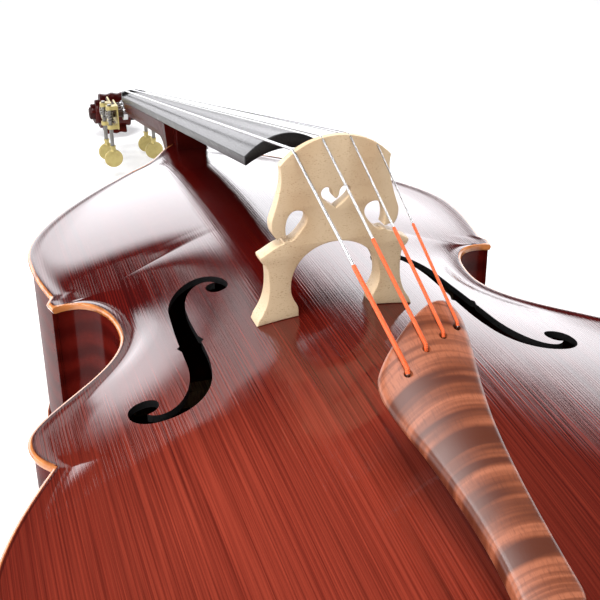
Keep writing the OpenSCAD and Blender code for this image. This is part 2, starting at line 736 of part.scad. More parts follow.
bridge_r = 70;
foot_in = 36;
foot_out = 76;
bridge_back = -bridge_foot_t / 2;
function string_x(i, spread) = spread * (i - 1.5) / 3;
function bridge_crown(x) = edge_z + bridge_h - bridge_r + sqrt(bridge_r * bridge_r - x * x);
function foot_z(x) = edge_z + belly_rise(x, 0) + 0.3;
function bz(x, z) = [x, edge_z + z * bridge_h / 204];
bridge_side = concat(
    [for (i = [0:9]) let (x = 51.5 * i / 9) [x, bridge_crown(x)]],
    run([bz(51.5, 181), bz(49, 170), bz(50, 160), bz(60, 131)], 5),
    run([bz(60, 131), bz(61, 122), bz(58, 116), bz(55, 114)], 4),
    run([bz(55, 114), bz(50, 117), bz(47, 113), bz(49, 109)], 4),
    run([bz(49, 109), bz(58, 107), bz(64, 101), bz(71, 98)], 4),
    run([bz(71, 98), bz(72, 92), bz(65, 92), bz(64, 84)], 3),
    run([bz(64, 84), bz(62, 62), bz(64, 48), bz(76, 34)], 6),
    [[foot_out, foot_z(foot_out)], [(foot_in + foot_out) / 2, foot_z((foot_in + foot_out) / 2)],
        [foot_in, foot_z(foot_in)]],
    run([bz(36, 42), bz(36, 48), bz(43, 52), bz(43, 64)], 4),
    run([bz(43, 64), bz(43, 90), bz(22, 105), bz(0, 105)], 9));
kidney = closed([
    [[bz(37, 139), bz(29, 139), bz(24, 132), bz(29, 124)], 5],
    [[bz(29, 124), bz(34, 117), bz(39, 110), bz(44, 110)], 4],
    [[bz(44, 110), bz(49, 113), bz(49, 139), bz(37, 139)], 7]]);
heart = closed([
    [[bz(0, 137), bz(6, 141), bz(15, 147), bz(14, 153)], 4],
    [[bz(14, 153), bz(12, 160), bz(3, 158), bz(3, 150)], 5],
    [[bz(3, 150), bz(2, 147), bz(1, 146), bz(0, 146)], 2]]);

module bridge() {
    color(maple) difference() {
        intersection() {
            translate([0, bridge_foot_t / 2, 0]) rotate([90, 0, 0]) linear_extrude(bridge_foot_t)
                difference() {
                    polygon(concat(bridge_side, backwards(flip(bridge_side))));
                    polygon(concat(heart, backwards(flip(heart))));
                    for (side = [0, 1]) mirror([side, 0, 0]) {
                        polygon(kidney);
                        polygon([bz(41, 112), bz(44, 115), bz(60, 112), bz(58, 108)]);
                    }
                }
            rotate([90, 0, 90]) translate([0, 0, -90]) linear_extrude(180) polygon([
                [bridge_back, edge_z], [-bridge_back, edge_z], [-bridge_back, edge_z + 46],
                [bridge_back + 2 + bridge_top_t, edge_z + bridge_h + 1],
                [bridge_back + 2, edge_z + bridge_h + 1]]);
        }
        for (i = [0:3]) tube(string_way(i), string_d[i] / 2 + 0.05, 8);
    }
}

// ---- Tailpiece and its wire ---------------------------------------------------------------------

tail_slope = atan(0.385);
tail_lift = edge_z + 197;
tail_mid = -4;
tail_round = 110;
// A place on the tailpiece's plane from its level place
function on_tail(x, y, up_by = 0) = [x, y - up_by * sin(tail_slope),
    tail_lift + y * tan(tail_slope) + up_by * cos(tail_slope)];
tail_curves = [
    [[[24, -181], [31, -181], [35, -188], [35, -200]], 5],
    [[[35, -200], [33, -222], [22, -250], [17, -286]], 7],
    [[[17, -286], [13, -320], [14, -360], [18, -412]], 6],
    [[[18, -412], [18, -422], [14, -426], [4, -426]], 4],
    [[[4, -426], [-4, -426], [-8, -426], [-12, -426]], 1],
    [[[-12, -426], [-22, -426], [-26, -422], [-26, -412]], 4],
    [[[-26, -412], [-24, -370], [-33, -330], [-40, -300]], 6],
    [[[-40, -300], [-50, -268], [-54, -248], [-48, -236]], 6],
    [[[-48, -236], [-40, -222], [-24, -210], [-8, -197]], 5],
    [[[-8, -197], [4, -189], [14, -181], [24, -181]], 4]];
tail_holes = [[-29, -242], [-8, -226], [10, -216.5], [25, -209]];
function crown_drop(x) = tail_round - sqrt(tail_round * tail_round - pow(x - tail_mid, 2));

module on_tailpiece() {
    translate([0, 0, tail_lift]) rotate([tail_slope, 0, 0]) children();
}

module tailpiece() {
    stretch = 1 / cos(tail_slope);
    color(flamed) difference() {
        on_tailpiece() intersection() {
            translate([0, 0, -tailpiece_t]) linear_extrude(tailpiece_t)
                polygon([for (p = closed(tail_curves)) [p.x, p.y * stretch]]);
            translate([tail_mid, 0, -tail_round]) rotate([90, 0, 0]) cylinder(r = tail_round, h = 600, $fn = 96);
        }
        for (h = tail_holes) on_tailpiece()
            translate([h.x, h.y * stretch, -tailpiece_t - 1]) cylinder(r = 2.4, h = tailpiece_t + 2);
        for (x = [-wire_gap, wire_gap]) on_tailpiece()
            translate([tail_mid + x, -400 * stretch, -tailpiece_t / 2]) rotate([90, 0, 0])
                cylinder(r = wire_d / 2 + 0.1, h = 60);
    }
}

wire_gap = 9;
saddle_top = edge_z + 13;
collar_y = -body_tail + overhang;
collar_z = back_t + rib_h / 2;
groove_r = 15;
loop_r = groove_r + wire_d / 2 + 1.1;
wire_start = on_tail(tail_mid + wire_gap, -404, -tailpiece_t / 2);
wire_mouth = on_tail(tail_mid + wire_gap, -430, -tailpiece_t / 2);
// Right half of the wire's way, from inside the tailpiece to under the collar
wire_half = [
    wire_start, wire_mouth,
    [wire_gap + 1, -body_tail + 12, saddle_top + wire_d / 2 + 0.4],
    [wire_gap + 1, -body_tail + 1, saddle_top + wire_d / 2],
    [wire_gap + 2, -body_tail - 3.5, saddle_top - 4],
    [wire_gap + 3, -body_tail - 3.5, edge_z - 24],
    [loop_r - 1.4, collar_y - 6.5, collar_z + 14],
    [loop_r, collar_y - 6.5, collar_z],
    [0.73 * loop_r, collar_y - 6.5, collar_z - 0.73 * loop_r]];
wire_way = concat(wire_half, [[0, collar_y - 6.5, collar_z - loop_r]],
    [for (i = [len(wire_half) - 1:-1:2]) [-wire_half[i].x, wire_half[i].y, wire_half[i].z]],
    [wire_mouth - [2 * wire_gap, 0, 0], wire_start - [2 * wire_gap, 0, 0]]);

// Tube along a way of points, its rings square to the way
module tube(way, r, sides) {
    last = len(way) - 1;
    loft([for (i = [0:last]) let (
            t = way[min(i + 1, last)] - way[max(i - 1, 0)],
            dir = t / norm(t),
            guess = abs(dir.x) > 0.9 ? [0, 1, 0] : [1, 0, 0],
            side = cross(dir, guess) / norm(cross(dir, guess)),
            up_dir = cross(dir, side)
        ) [for (k = [0:sides - 1]) let (a = -360 * k / sides)
            way[i] + r * (cos(a) * side + sin(a) * up_dir)]]);
}

module tail_wire() {
    color(steel) tube(wire_way, wire_d / 2, 8);
}

module saddle() {
    color(ebony) translate([-saddle_hw, 0, 0]) rotate([90, 0, 90]) linear_extrude(2 * saddle_hw)
        polygon([
            [-body_tail, rib_top], [-body_tail, saddle_top - 4], [-body_tail + 2, saddle_top - 1],
            [-body_tail + 5, saddle_top], [-body_tail + 9, saddle_top - 1],
            [-body_tail + saddle_l, edge_z + 3], [-body_tail + saddle_l, rib_top]]);
}

// ---- Strings ------------------------------------------------------------------------------------

bridge_mid = bridge_back + 2 + bridge_top_t / 2;
function tail_point(i) = on_tail(tail_holes[i].x, tail_holes[i].y,
    string_d[i] / 2 + 0.6 - crown_drop(tail_holes[i].x) * 0.5);
function bridge_point(i) = let (x = string_x(i, bridge_spread)) [x, bridge_mid, bridge_crown(x)];
function nut_point(i) = let (x = string_x(i, nut_spread))
    [x, string_stop + nut_t / 2, nut_crown(x) + string_d[i] / 2 + 0.35];
// Where a straight string leaves for its winding, touching a circle just over it
function winding_point(i) = let (
        m = MACHINES[i],
        c = [roller_y(m), roller_z(m)],
        q = [nut_point(i).y, nut_point(i).z] - c,
        rho = winding_r(m) + string_d[i] / 2 + pass_gap,
        a = atan2(q.y, q.x) - acos(rho / norm(q))
    ) [winding_x(m), c.x + rho * cos(a), c.y + rho * sin(a)];

// Way of a string from under the tailpiece to its winding
function string_way(i) = let (
        h = tail_holes[i],
        along = (bridge_point(i) - tail_point(i)) / norm(bridge_point(i) - tail_point(i))
    ) [on_tail(h.x, h.y, -tailpiece_t - 5), on_tail(h.x, h.y, -2.5), tail_point(i) + 2.5 * along,
        bridge_point(i) - 4 * along, bridge_point(i) + [0, 4, 4 * along.z * 0.2], nut_point(i),
        winding_point(i)];

module string(i) {
    color(steel) {
        tube(string_way(i), string_d[i] / 2, 8);
        translate(string_way(i)[0]) sphere(r = 3.2, $fn = 24);
    }
}

silk_share = [0.57, 0.53, 0.51, 0.49];
silk_t = 0.65;
module silk_wraps() {
    color(silk_red) for (i = [0:3]) {
        way = string_way(i);
        a = way[2];
        b = blend(way[2], way[3], 1 - silk_share[i]);
        v = b - a;
        difference() {
            tube([a, b], string_d[i] / 2 + silk_t, 12);
            tube([a - v, b + v], string_d[i] / 2, 8);
        }
    }
}

// ---- Endpin -------------------------------------------------------------------------------------

collar_plug_r = 13;
collar_head_l = 40;
head_y = collar_y - collar_head_l;
screw_y = head_y + 9;
screw_r = 3;
screw_x = endpin_d / 2 + 0.4;
function down_y(y) = [0, y, collar_z];

// Cylinder along -Y on the endpin's line
module pin_rod(y_top, y_bottom, r) {
    translate(down_y(y_top)) rotate([90, 0, 0]) cylinder(r = r, h = y_top - y_bottom);
}

module endpin_bore(r) {
    pin_rod(-body_tail + 60, -body_tail - 60, r);
}

module endpin_collar() {
    color(ebony) difference() {
        union() {
            pin_rod(collar_y + 48, collar_y, collar_plug_r);
            pin_rod(collar_y, collar_y - 3, 22);
            pin_rod(collar_y - 3, collar_y - 10, groove_r);
            pin_rod(collar_y - 10, collar_y - 16, 21);
            pin_rod(collar_y - 16, head_y, 16);
        }
        pin_rod(collar_y + 60, head_y - 10, endpin_d / 2 + run_fit);
        translate([0, screw_y, collar_z]) rotate([0, 90, 0]) cylinder(r = screw_r + run_fit, h = 40);
    }
}

tip_l = 24;
tip_r = 11;
rod_out_y = head_y - endpin_out;
module endpin_rod() {
    color(steel) pin_rod(rod_out_y + endpin_len, rod_out_y, endpin_d / 2);
}

module endpin_tip() {
    color(rubber_black) difference() {
        union() {
            pin_rod(rod_out_y + 12, rod_out_y - tip_l + 12, tip_r);
            translate(down_y(rod_out_y - tip_l + 12)) rotate([90, 0, 0])
                cylinder(r1 = tip_r, r2 = tip_r - 3, h = 4);
        }
        pin_rod(rod_out_y + 20, rod_out_y, endpin_d / 2);
    }
}

module endpin_thumbscrew() {
    color(steel) translate([screw_x, screw_y, collar_z]) rotate([0, 90, 0]) {
        cylinder(r = screw_r, h = 16);
        translate([0, 0, 14.5]) cylinder(r = 5, h = 4);
        translate([0, 0, 18.5]) intersection() {
            translate([-9, -1.6, 0]) cube([18, 3.2, 14]);
            rotate([90, 0, 0]) translate([0, 5, -5]) cylinder(r = 9, h = 10);
        }
    }
}

top_plate();
back_plate();
rib(0, tip_up, 1);  // rib_upper_bass
rib(0, tip_up, 0);  // rib_upper_treble
rib(tip_up, tip_low, 1);  // rib_waist_bass
rib(tip_up, tip_low, 0);  // rib_waist_treble
rib(tip_low, last_row, 1);  // rib_lower_bass
rib(tip_low, last_row, 0);  // rib_lower_treble
linings_front();
linings_back();
neck_block();
end_block();
corner_blocks();
back_braces();
bass_bar();
sound_post();
neck();
pegbox_scroll();
fingerboard();
nut();
bridge();
tailpiece();
tail_wire();
saddle();
string(0);  // string_e
string(1);  // string_a
string(2);  // string_d
string(3);  // string_g
silk_wraps();
endpin_collar();
endpin_rod();
endpin_thumbscrew();
endpin_tip();
machine_plate(-1);  // machine_plate_bass
machine_plate(1);  // machine_plate_treble
plate_screws();
roller(E);  // roller_e
roller(A);  // roller_a
roller(D);  // roller_d
roller(G);  // roller_g
gear(E);  // gear_e
gear(A);  // gear_a
gear(D);  // gear_d
gear(G);  // gear_g
gear_screw(E);  // gear_screw_e
gear_screw(A);  // gear_screw_a
gear_screw(D);  // gear_screw_d
gear_screw(G);  // gear_screw_g
winding(E);  // winding_e
winding(A);  // winding_a
winding(D);  // winding_d
winding(G);  // winding_g
worm(E);  // worm_e
worm(A);  // worm_a
worm(D);  // worm_d
worm(G);  // worm_g
key(E);  // key_e
key(A);  // key_a
key(D);  // key_d
key(G);  // key_g
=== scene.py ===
"""A double bass lying on its flat back: the visible pieces, their finishes and the studio around them."""

import json
import logging
import math
from dataclasses import dataclass, field
from enum import Enum
from typing import Callable, Sequence

import bmesh
import bpy
from mathutils import Matrix, Vector


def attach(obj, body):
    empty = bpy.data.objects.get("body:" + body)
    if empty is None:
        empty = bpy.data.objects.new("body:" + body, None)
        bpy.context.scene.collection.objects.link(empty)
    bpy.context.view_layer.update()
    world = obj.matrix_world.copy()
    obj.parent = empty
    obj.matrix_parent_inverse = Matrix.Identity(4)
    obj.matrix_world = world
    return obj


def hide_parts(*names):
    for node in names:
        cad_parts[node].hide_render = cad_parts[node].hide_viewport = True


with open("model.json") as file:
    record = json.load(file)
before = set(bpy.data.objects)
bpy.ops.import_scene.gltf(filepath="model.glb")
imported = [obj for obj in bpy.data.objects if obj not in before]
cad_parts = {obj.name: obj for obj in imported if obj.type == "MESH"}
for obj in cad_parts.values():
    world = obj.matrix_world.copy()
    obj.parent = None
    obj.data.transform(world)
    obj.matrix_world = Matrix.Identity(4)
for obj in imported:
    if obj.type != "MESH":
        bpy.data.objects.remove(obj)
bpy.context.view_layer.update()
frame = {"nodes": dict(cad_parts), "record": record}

MM = 0.001
SHARP = math.radians(38)
log = logging.getLogger("double_bass")

Point2 = tuple[float, float]
Colour = tuple[float, float, float]


# ---- Curves ---------------------------------------------------------------------------------------


def mix(a: float, b: float, t: float) -> float:
    """The value a share t of the way from a to b."""
    return a + (b - a) * t


def bezier(curve: Sequence[Point2], t: float) -> Point2:
    """A point on a cubic curve.

    Args:
        curve: Its two ends with their two handles between them.
        t: The place on it, from 0 to 1.

    Returns:
        The point.
    """
    shares = ((1 - t) ** 3, 3 * t * (1 - t) ** 2, 3 * t * t * (1 - t), t**3)
    return (sum(s * p[0] for s, p in zip(shares, curve)), sum(s * p[1] for s, p in zip(shares, curve)))


def run(curve: Sequence[Point2], steps: int) -> list[Point2]:
    """Points along a cubic curve, without the last one."""
    return [bezier(curve, i / steps) for i in range(steps)]


def closed(curves: Sequence[tuple[Sequence[Point2], int]]) -> list[Point2]:
    """The points of a closed outline made of several cubic curves."""
    return [p for curve, steps in curves for p in run(curve, steps)]


def flip(points: Sequence[Point2]) -> list[Point2]:
    """The mirror image of some points in the centre line, in the opposite order."""
    return [(-x, y) for x, y in reversed(points)]


def smooth(t: float) -> float:
    """An S-shaped rise from 0 to 1."""
    return t * t * (3 - 2 * t)


# ---- Making pieces --------------------------------------------------------------------------------


class Body(Enum):
    """The frame's rigid bodies that pieces ride on."""

    INSTRUMENT = "instrument"
    ENDPIN = "endpin"
    THUMBSCREW = "thumbscrew"


def wrapped_sheet(around: int, along: int, place: Callable[[int, int], Vector]) -> bmesh.types.BMesh:
    """A tube-shaped skin with closed ends, made from a grid.

    Args:
        around: Steps round the skin.
        along: Steps along it.
        place: Gives the place, in millimetres, of the point at a step round and a step along.

    Returns:
        The skin as a closed mesh, in metres, its faces outwards.
    """
    bm = bmesh.new()
    bmesh.ops.create_grid(bm, x_segments=around, y_segments=along, size=0.5)
    for vert in bm.verts:
        i = round((vert.co.x + 0.5) * around)
        k = round((vert.co.y + 0.5) * along)
        vert.co = place(i % around, k) * MM
    bmesh.ops.remove_doubles(bm, verts=bm.verts, dist=1e-6)
    bmesh.ops.holes_fill(bm, edges=[e for e in bm.edges if e.is_boundary], sides=0)
    bmesh.ops.recalc_face_normals(bm, faces=bm.faces)
    return bm


def loft(rings: Sequence[Sequence[Vector]]) -> bmesh.types.BMesh:
    """A closed skin through rings that all have as many points."""
    return wrapped_sheet(len(rings[0]), len(rings) - 1, lambda i, k: Vector(rings[k][i]))


def plate(outlines: Sequence[Sequence[Point2]], thickness: float, edge: float) -> bmesh.types.BMesh:
    """A flat plate with rounded edges, standing on z = 0.

    Args:
        outlines: Its outline in millimetres, and the outlines of its holes.
        thickness: Its thickness in millimetres.
        edge: The radius of its edges in millimetres.

    Returns:
        The plate's mesh, in metres.
    """
    curve = bpy.data.curves.new("outline", "CURVE")
    curve.dimensions = "2D"
    curve.fill_mode = "BOTH"
    curve.extrude = (thickness / 2 - edge) * MM
    curve.bevel_depth = edge * MM
    curve.bevel_resolution = 2
    curve.offset = -edge * MM
    for outline in outlines:
        spline = curve.splines.new("POLY")
        spline.points.add(len(outline) - 1)
        for point, (x, y) in zip(spline.points, outline):
            point.co = (x * MM, y * MM, 0, 1)
        spline.use_cyclic_u = True
    holder = bpy.data.objects.new("outline", curve)
    bpy.context.scene.collection.objects.link(holder)
    seen = holder.evaluated_get(bpy.context.evaluated_depsgraph_get())
    flat = bpy.data.meshes.new_from_object(seen)
    bm = bmesh.new()
    bm.from_mesh(flat)
    bpy.data.objects.remove(holder)
    bpy.data.meshes.remove(flat)
    bmesh.ops.remove_doubles(bm, verts=bm.verts, dist=2e-6)
    bmesh.ops.translate(bm, verts=bm.verts, vec=(0, 0, thickness / 2 * MM))
    bmesh.ops.recalc_face_normals(bm, faces=bm.faces)
    return bm


def turned(profile: Sequence[Point2], steps: int = 48) -> bmesh.types.BMesh:
    """A piece turned on a lathe about Z.

    Args:
        profile: Radius and height of the points of its profile, in millimetres, from axis to axis.
        steps: Steps round it.

    Returns:
        The turned mesh, in metres.
    """
    bm = bmesh.new()
    verts = [bm.verts.new((r * MM, 0, z * MM)) for r, z in profile]
    edges = [bm.edges.new(pair) for pair in zip(verts, verts[1:])]
    bmesh.ops.spin(
        bm, geom=verts + edges, cent=(0, 0, 0), axis=(0, 0, 1), angle=math.tau, steps=steps, use_merge=True
    )
    bmesh.ops.remove_doubles(bm, verts=bm.verts, dist=1e-6)
    bmesh.ops.recalc_face_normals(bm, faces=bm.faces)
    return bm


def placed(bm: bmesh.types.BMesh, turn: Matrix, at: Sequence[float]) -> bmesh.types.BMesh:
    """The mesh turned about the origin and then moved to a place in millimetres."""
    bmesh.ops.transform(bm, matrix=Matrix.Translation(Vector(at) * MM) @ turn.to_4x4(), verts=bm.verts)
    return bm


def joined(parts: Sequence[bmesh.types.BMesh]) -> bmesh.types.BMesh:
    """Several meshes as one."""
    whole = bmesh.new()
    for part in parts:
        carrier = bpy.data.meshes.new("carrier")
        part.to_mesh(carrier)
        part.free()
        whole.from_mesh(carrier)
        bpy.data.meshes.remove(carrier)
    return whole


def carved(bm: bmesh.types.BMesh, cutter: bmesh.types.BMesh) -> bmesh.types.BMesh:
    """A closed mesh with the room of another cut out of it."""
    holders = []
    for name, source in (("blank", bm), ("cutter", cutter)):
        mesh = bpy.data.meshes.new(name)
        source.to_mesh(mesh)
        source.free()
        holder = bpy.data.objects.new(name, mesh)
        bpy.context.scene.collection.objects.link(holder)
        holders.append(holder)
    cut = holders[0].modifiers.new("cut", "BOOLEAN")
    cut.operation = "DIFFERENCE"
    cut.solver = "EXACT"
    cut.object = holders[1]
    seen = holders[0].evaluated_get(bpy.context.evaluated_depsgraph_get())
    result = bpy.data.meshes.new_from_object(seen)
    out = bmesh.new()
    out.from_mesh(result)
    bpy.data.meshes.remove(result)
    for holder in holders:
        mesh = holder.data
        bpy.data.objects.remove(holder)
        bpy.data.meshes.remove(mesh)
    return out


def piece(
    name: str,
    bm: bmesh.types.BMesh,
    material: bpy.types.Material,
    body: str = Body.INSTRUMENT.value,
    stands_for: Sequence[str] = (),
    sharp: float = SHARP,
) -> bpy.types.Object:
    """Turns a mesh into a finished piece of the instrument.

    Args:
        name: The piece's name.
        bm: Its mesh, in place and in metres.
        material: Its finish.
        body: The body that the piece rides on.
        stands_for: The CAD nodes that it replaces.
        sharp: Edges steeper than this angle stay crisp.

    Returns:
        The piece's object.
    """
    mesh = bpy.data.meshes.new(name)
    bm.to_mesh(mesh)
    bm.free()
    mesh.shade_smooth()
    mesh.set_sharp_from_angle(angle=sharp)
    mesh.materials.append(material)
    made = bpy.data.objects.new(name, mesh)
    bpy.context.scene.collection.objects.link(made)
    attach(made, body)
    if stands_for:
        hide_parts(*stands_for)
    log.info("%s: %d faces", name, len(mesh.polygons))
    return made


# ---- Finishes -------------------------------------------------------------------------------------


class Nodes:
    """A material's node tree with short calls for what the finishes share."""

    def __init__(self, name: str) -> None:
        """Starts an empty material.

        Args:
            name: The material's name.
        """
        self.material = bpy.data.materials.new(name)
        self.material.use_nodes = True
        self.tree = self.material.node_tree
        self.shader = self.tree.nodes["Principled BSDF"]
        self.where = self.tree.nodes.new("ShaderNodeTexCoord").outputs["Object"]

    def link(self, source: bpy.types.NodeSocket, target: bpy.types.NodeSocket) -> None:
        """Joins an output to an input."""
        self.tree.links.new(source, target)

    def scaled(self, x: float, y: float, z: float) -> bpy.types.NodeSocket:
        """Object coordinates times a scale for each direction."""
        node = self.tree.nodes.new("ShaderNodeMapping")
        node.inputs["Scale"].default_value = (x, y, z)
        self.link(self.where, node.inputs["Vector"])
        return node.outputs["Vector"]

    def stretched(self, vector: bpy.types.NodeSocket, x: float, y: float, z: float) -> bpy.types.NodeSocket:
        """A vector times a scale for each direction."""
        node = self.tree.nodes.new("ShaderNodeVectorMath")
        node.operation = "MULTIPLY"
        node.inputs[1].default_value = (x, y, z)
        self.link(vector, node.inputs[0])
        return node.outputs["Vector"]

    def distance(self, point: tuple[float, float, float]) -> bpy.types.NodeSocket:
        """Distance in metres from a point of the object."""
        node = self.tree.nodes.new("ShaderNodeVectorMath")
        node.operation = "DISTANCE"
        node.inputs[1].default_value = point
        self.link(self.where, node.inputs[0])
        return node.outputs["Value"]

    def bowed(self, bow: float) -> bpy.types.NodeSocket:
        """Object coordinates whose Y grows with the square of X, so that cross bands become arcs."""
        split = self.tree.nodes.new("ShaderNodeSeparateXYZ")
        merge = self.tree.nodes.new("ShaderNodeCombineXYZ")
        self.link(self.where, split.inputs["Vector"])
        square = self.times(self.times(split.outputs["X"], split.outputs["X"]), bow)
        self.link(split.outputs["X"], merge.inputs["X"])
        self.link(self.times(split.outputs["Y"], square, "ADD"), merge.inputs["Y"])
        self.link(split.outputs["Z"], merge.inputs["Z"])
        return merge.outputs["Vector"]

    def noise(self, vector: bpy.types.NodeSocket, scale: float, detail: float = 3, rough: float = 0.5,
              bend: float = 0) -> bpy.types.NodeSocket:
        """A noise's strength, about 0.5 at its middle."""
        node = self.tree.nodes.new("ShaderNodeTexNoise")
        self.link(vector, node.inputs["Vector"])
        for key, value in (("Scale", scale), ("Detail", detail), ("Roughness", rough), ("Distortion", bend)):
            node.inputs[key].default_value = value
        return node.outputs["Fac"]

    def bands(self, vector: bpy.types.NodeSocket, scale: float, bend: float, detail: float = 2,
              direction: str = "X") -> bpy.types.NodeSocket:
        """Wavy parallel bands."""
        node = self.tree.nodes.new("ShaderNodeTexWave")
        node.bands_direction = direction
        self.link(vector, node.inputs["Vector"])
        for key, value in (("Scale", scale), ("Distortion", bend), ("Detail", detail), ("Detail Scale", 1.2)):
            node.inputs[key].default_value = value
        return node.outputs["Fac"]

    def ramp(self, value: bpy.types.NodeSocket, stops: Sequence[tuple[float, Colour]]) -> bpy.types.NodeSocket:
        """Colours along a value."""
        node = self.tree.nodes.new("ShaderNodeValToRGB")
        elements = node.color_ramp.elements
        while len(elements) < len(stops):
            elements.new(0.5)
        for element, (place, colour) in zip(elements, stops):
            element.position = place
            element.color = (*colour, 1)
        self.link(value, node.inputs["Fac"])
        return node.outputs["Color"]

    def window(self, value: bpy.types.NodeSocket, low: float, high: float, at_low: float = 0,
               at_high: float = 1) -> bpy.types.NodeSocket:
        """A value's stretch from low to high, brought to at_low to at_high and held there."""
        node = self.tree.nodes.new("ShaderNodeMapRange")
        node.inputs["From Min"].default_value = low
        node.inputs["From Max"].default_value = high
        node.inputs["To Min"].default_value = at_low
        node.inputs["To Max"].default_value = at_high
        self.link(value, node.inputs["Value"])
        return node.outputs["Result"]

    def blend(self, share: bpy.types.NodeSocket, a: bpy.types.NodeSocket | Colour,
              b: bpy.types.NodeSocket | Colour, mode: str = "MIX") -> bpy.types.NodeSocket:
        """Two colours mixed by a share."""
        node = self.tree.nodes.new("ShaderNodeMix")
        node.data_type = "RGBA"
        node.blend_type = mode
        self.link(share, node.inputs["Factor"])
        for socket, colour in ((node.inputs["A"], a), (node.inputs["B"], b)):
            if isinstance(colour, tuple):
                socket.default_value = (*colour, 1)
            else:
                self.link(colour, socket)
        return node.outputs["Result"]

    def times(self, a: bpy.types.NodeSocket, b: bpy.types.NodeSocket | float, operation: str = "MULTIPLY"
              ) -> bpy.types.NodeSocket:
        """Two values multiplied, or joined by another operation."""
        node = self.tree.nodes.new("ShaderNodeMath")
        node.operation = operation
        self.link(a, node.inputs[0])
        if isinstance(b, (int, float)):
            node.inputs[1].default_value = b
        else:
            self.link(b, node.inputs[1])
        return node.outputs["Value"]

    def attribute(self, name: str) -> bpy.types.NodeSocket:
        """A value that the piece's own mesh carries."""
        node = self.tree.nodes.new("ShaderNodeAttribute")
        node.attribute_name = name
        return node.outputs["Fac"]

    def relief(self, height: bpy.types.NodeSocket, strength: float, depth: float,
               coat: bool = False) -> None:
        """Raises the surface by a height, and the lacquer over it too if it has one."""
        node = self.tree.nodes.new("ShaderNodeBump")
        node.inputs["Strength"].default_value = strength
        node.inputs["Distance"].default_value = depth
        self.link(height, node.inputs["Height"])
        self.link(node.outputs["Normal"], self.shader.inputs["Normal"])
        if coat:
            self.link(node.outputs["Normal"], self.shader.inputs["Coat Normal"])

    def set(self, **values: float) -> None:
        """Sets numbers on the shader's own sockets."""
        for key, value in values.items():
            self.shader.inputs[key.replace("_", " ")].default_value = value

    def roughness(self, value: bpy.types.NodeSocket) -> None:
        """Links the shader's roughness."""
        self.link(value, self.shader.inputs["Roughness"])

    def colour(self, value: bpy.types.NodeSocket) -> None:
        """Links the shader's base colour."""
        self.link(value, self.shader.inputs["Base Color"])


@dataclass(frozen=True)
class SpruceVarnish:
    """Glossy red-brown varnish over straight spruce grain, worn to light wood along the edge, with a painted pool of
    light on the lower bass side of the belly.
    """

    dark: Colour = (0.018, 0.0006, 0.0006)
    middle: Colour = (0.055, 0.0020, 0.0016)
    light: Colour = (0.110, 0.0075, 0.0036)
    # Colour of the painted pool of light on the lower belly.
    painted_light_pool: Colour = (0.235, 0.0330, 0.0170)
    edge: Colour = (0.46, 0.165, 0.050)
    gloss: float = 0.05

    def build(self) -> bpy.types.Material:
        """Makes the material."""
        n = Nodes("belly_varnish")
        wide = n.noise(n.scaled(150, 1.2, 1), 1.0, 3, 0.6)
        fine = n.noise(n.scaled(620, 3.5, 1), 1.0, 4, 0.62)
        cloud = n.noise(n.scaled(3.2, 2.2, 3), 1.0, 2, 0.5)
        years = n.bands(n.scaled(1, 0.012, 0.012), 115, 2.4, 2, "X")
        lines = n.times(n.window(fine, 0.34, 0.66), n.window(years, 0.12, 0.6), "MINIMUM")
        base = n.ramp(n.times(n.times(lines, 0.5), n.times(wide, 0.55), "ADD"), [
            (0.14, self.dark), (0.5, self.middle), (0.86, self.light)])
        # Painted light: the belly turns lighter brown near a point on its lower bass side and fades back to the varnish
        # 0.34 m away, standing in for the softboxes' light falling there.
        warm = n.window(n.distance((-0.13, -0.30, 0.25)), 0.10, 0.34, 0.85, 0)
        with_painted_light = n.blend(n.times(warm, n.window(fine, 0.30, 0.64, 0.25, 1)), base, self.painted_light_pool)
        shaded = n.blend(n.window(cloud, 0.35, 0.7, 0.0, 0.32), with_painted_light, self.dark)
        rim = n.attribute("rim")
        wobble = n.noise(n.scaled(60, 60, 60), 1.0, 3, 0.6)
        worn = n.times(n.window(rim, 95.9, 97.2), n.window(wobble, 0.30, 0.55, 0.35, 1))
        line = n.times(n.window(rim, 93.4, 94.2), n.window(rim, 95.6, 96.4, 1, 0))
        n.colour(n.blend(worn, n.blend(n.times(line, 0.6), shaded, self.dark), self.edge))
        n.relief(n.times(n.times(lines, 0.8), n.times(wide, 0.5), "ADD"), 0.13, 0.0006, coat=True)
        n.roughness(n.window(fine, 0.3, 0.7, 0.34, 0.46))
        n.set(Coat_Weight=1.0, Coat_Roughness=self.gloss, Coat_IOR=1.52, Specular_IOR_Level=0.0)
        return n.material


@dataclass(frozen=True)
class MapleVarnish:
    """Glossy dark red-brown varnish over gently flamed maple."""

    name: str
    dark: Colour = (0.028, 0.0016, 0.0014)
    light: Colour = (0.095, 0.0065, 0.0040)
    edge: Colour = (0.40, 0.13, 0.04)
    gloss: float = 0.10
    flame: str = "Z"
    coat: float = 0.25

    def build(self) -> bpy.types.Material:
        """Makes the material."""
        n = Nodes(self.name)
        flames = n.bands(n.scaled(4, 4, 4), 2.6, 5.5, 3, self.flame)
        pores = n.noise(n.scaled(260, 12, 260), 1.0, 3, 0.6)
        base = n.blend(n.times(n.window(flames, 0.1, 0.9, 0.25, 0.8), n.window(pores, 0.3, 0.7, 0.7, 1)),
                       self.dark, self.light)
        rim = n.attribute("rim")
        wobble = n.noise(n.scaled(60, 60, 60), 1.0, 3, 0.6)
        worn = n.times(n.window(rim, 97.6, 99.4), n.window(wobble, 0.30, 0.55, 0.3, 1))
        n.colour(n.blend(worn, base, self.edge))
        n.relief(pores, 0.06, 0.0004, coat=True)
        n.roughness(n.window(pores, 0.3, 0.7, 0.28, 0.4))
        n.set(Coat_Weight=self.coat, Coat_Roughness=self.gloss, Specular_IOR_Level=0.0)
        return n.material


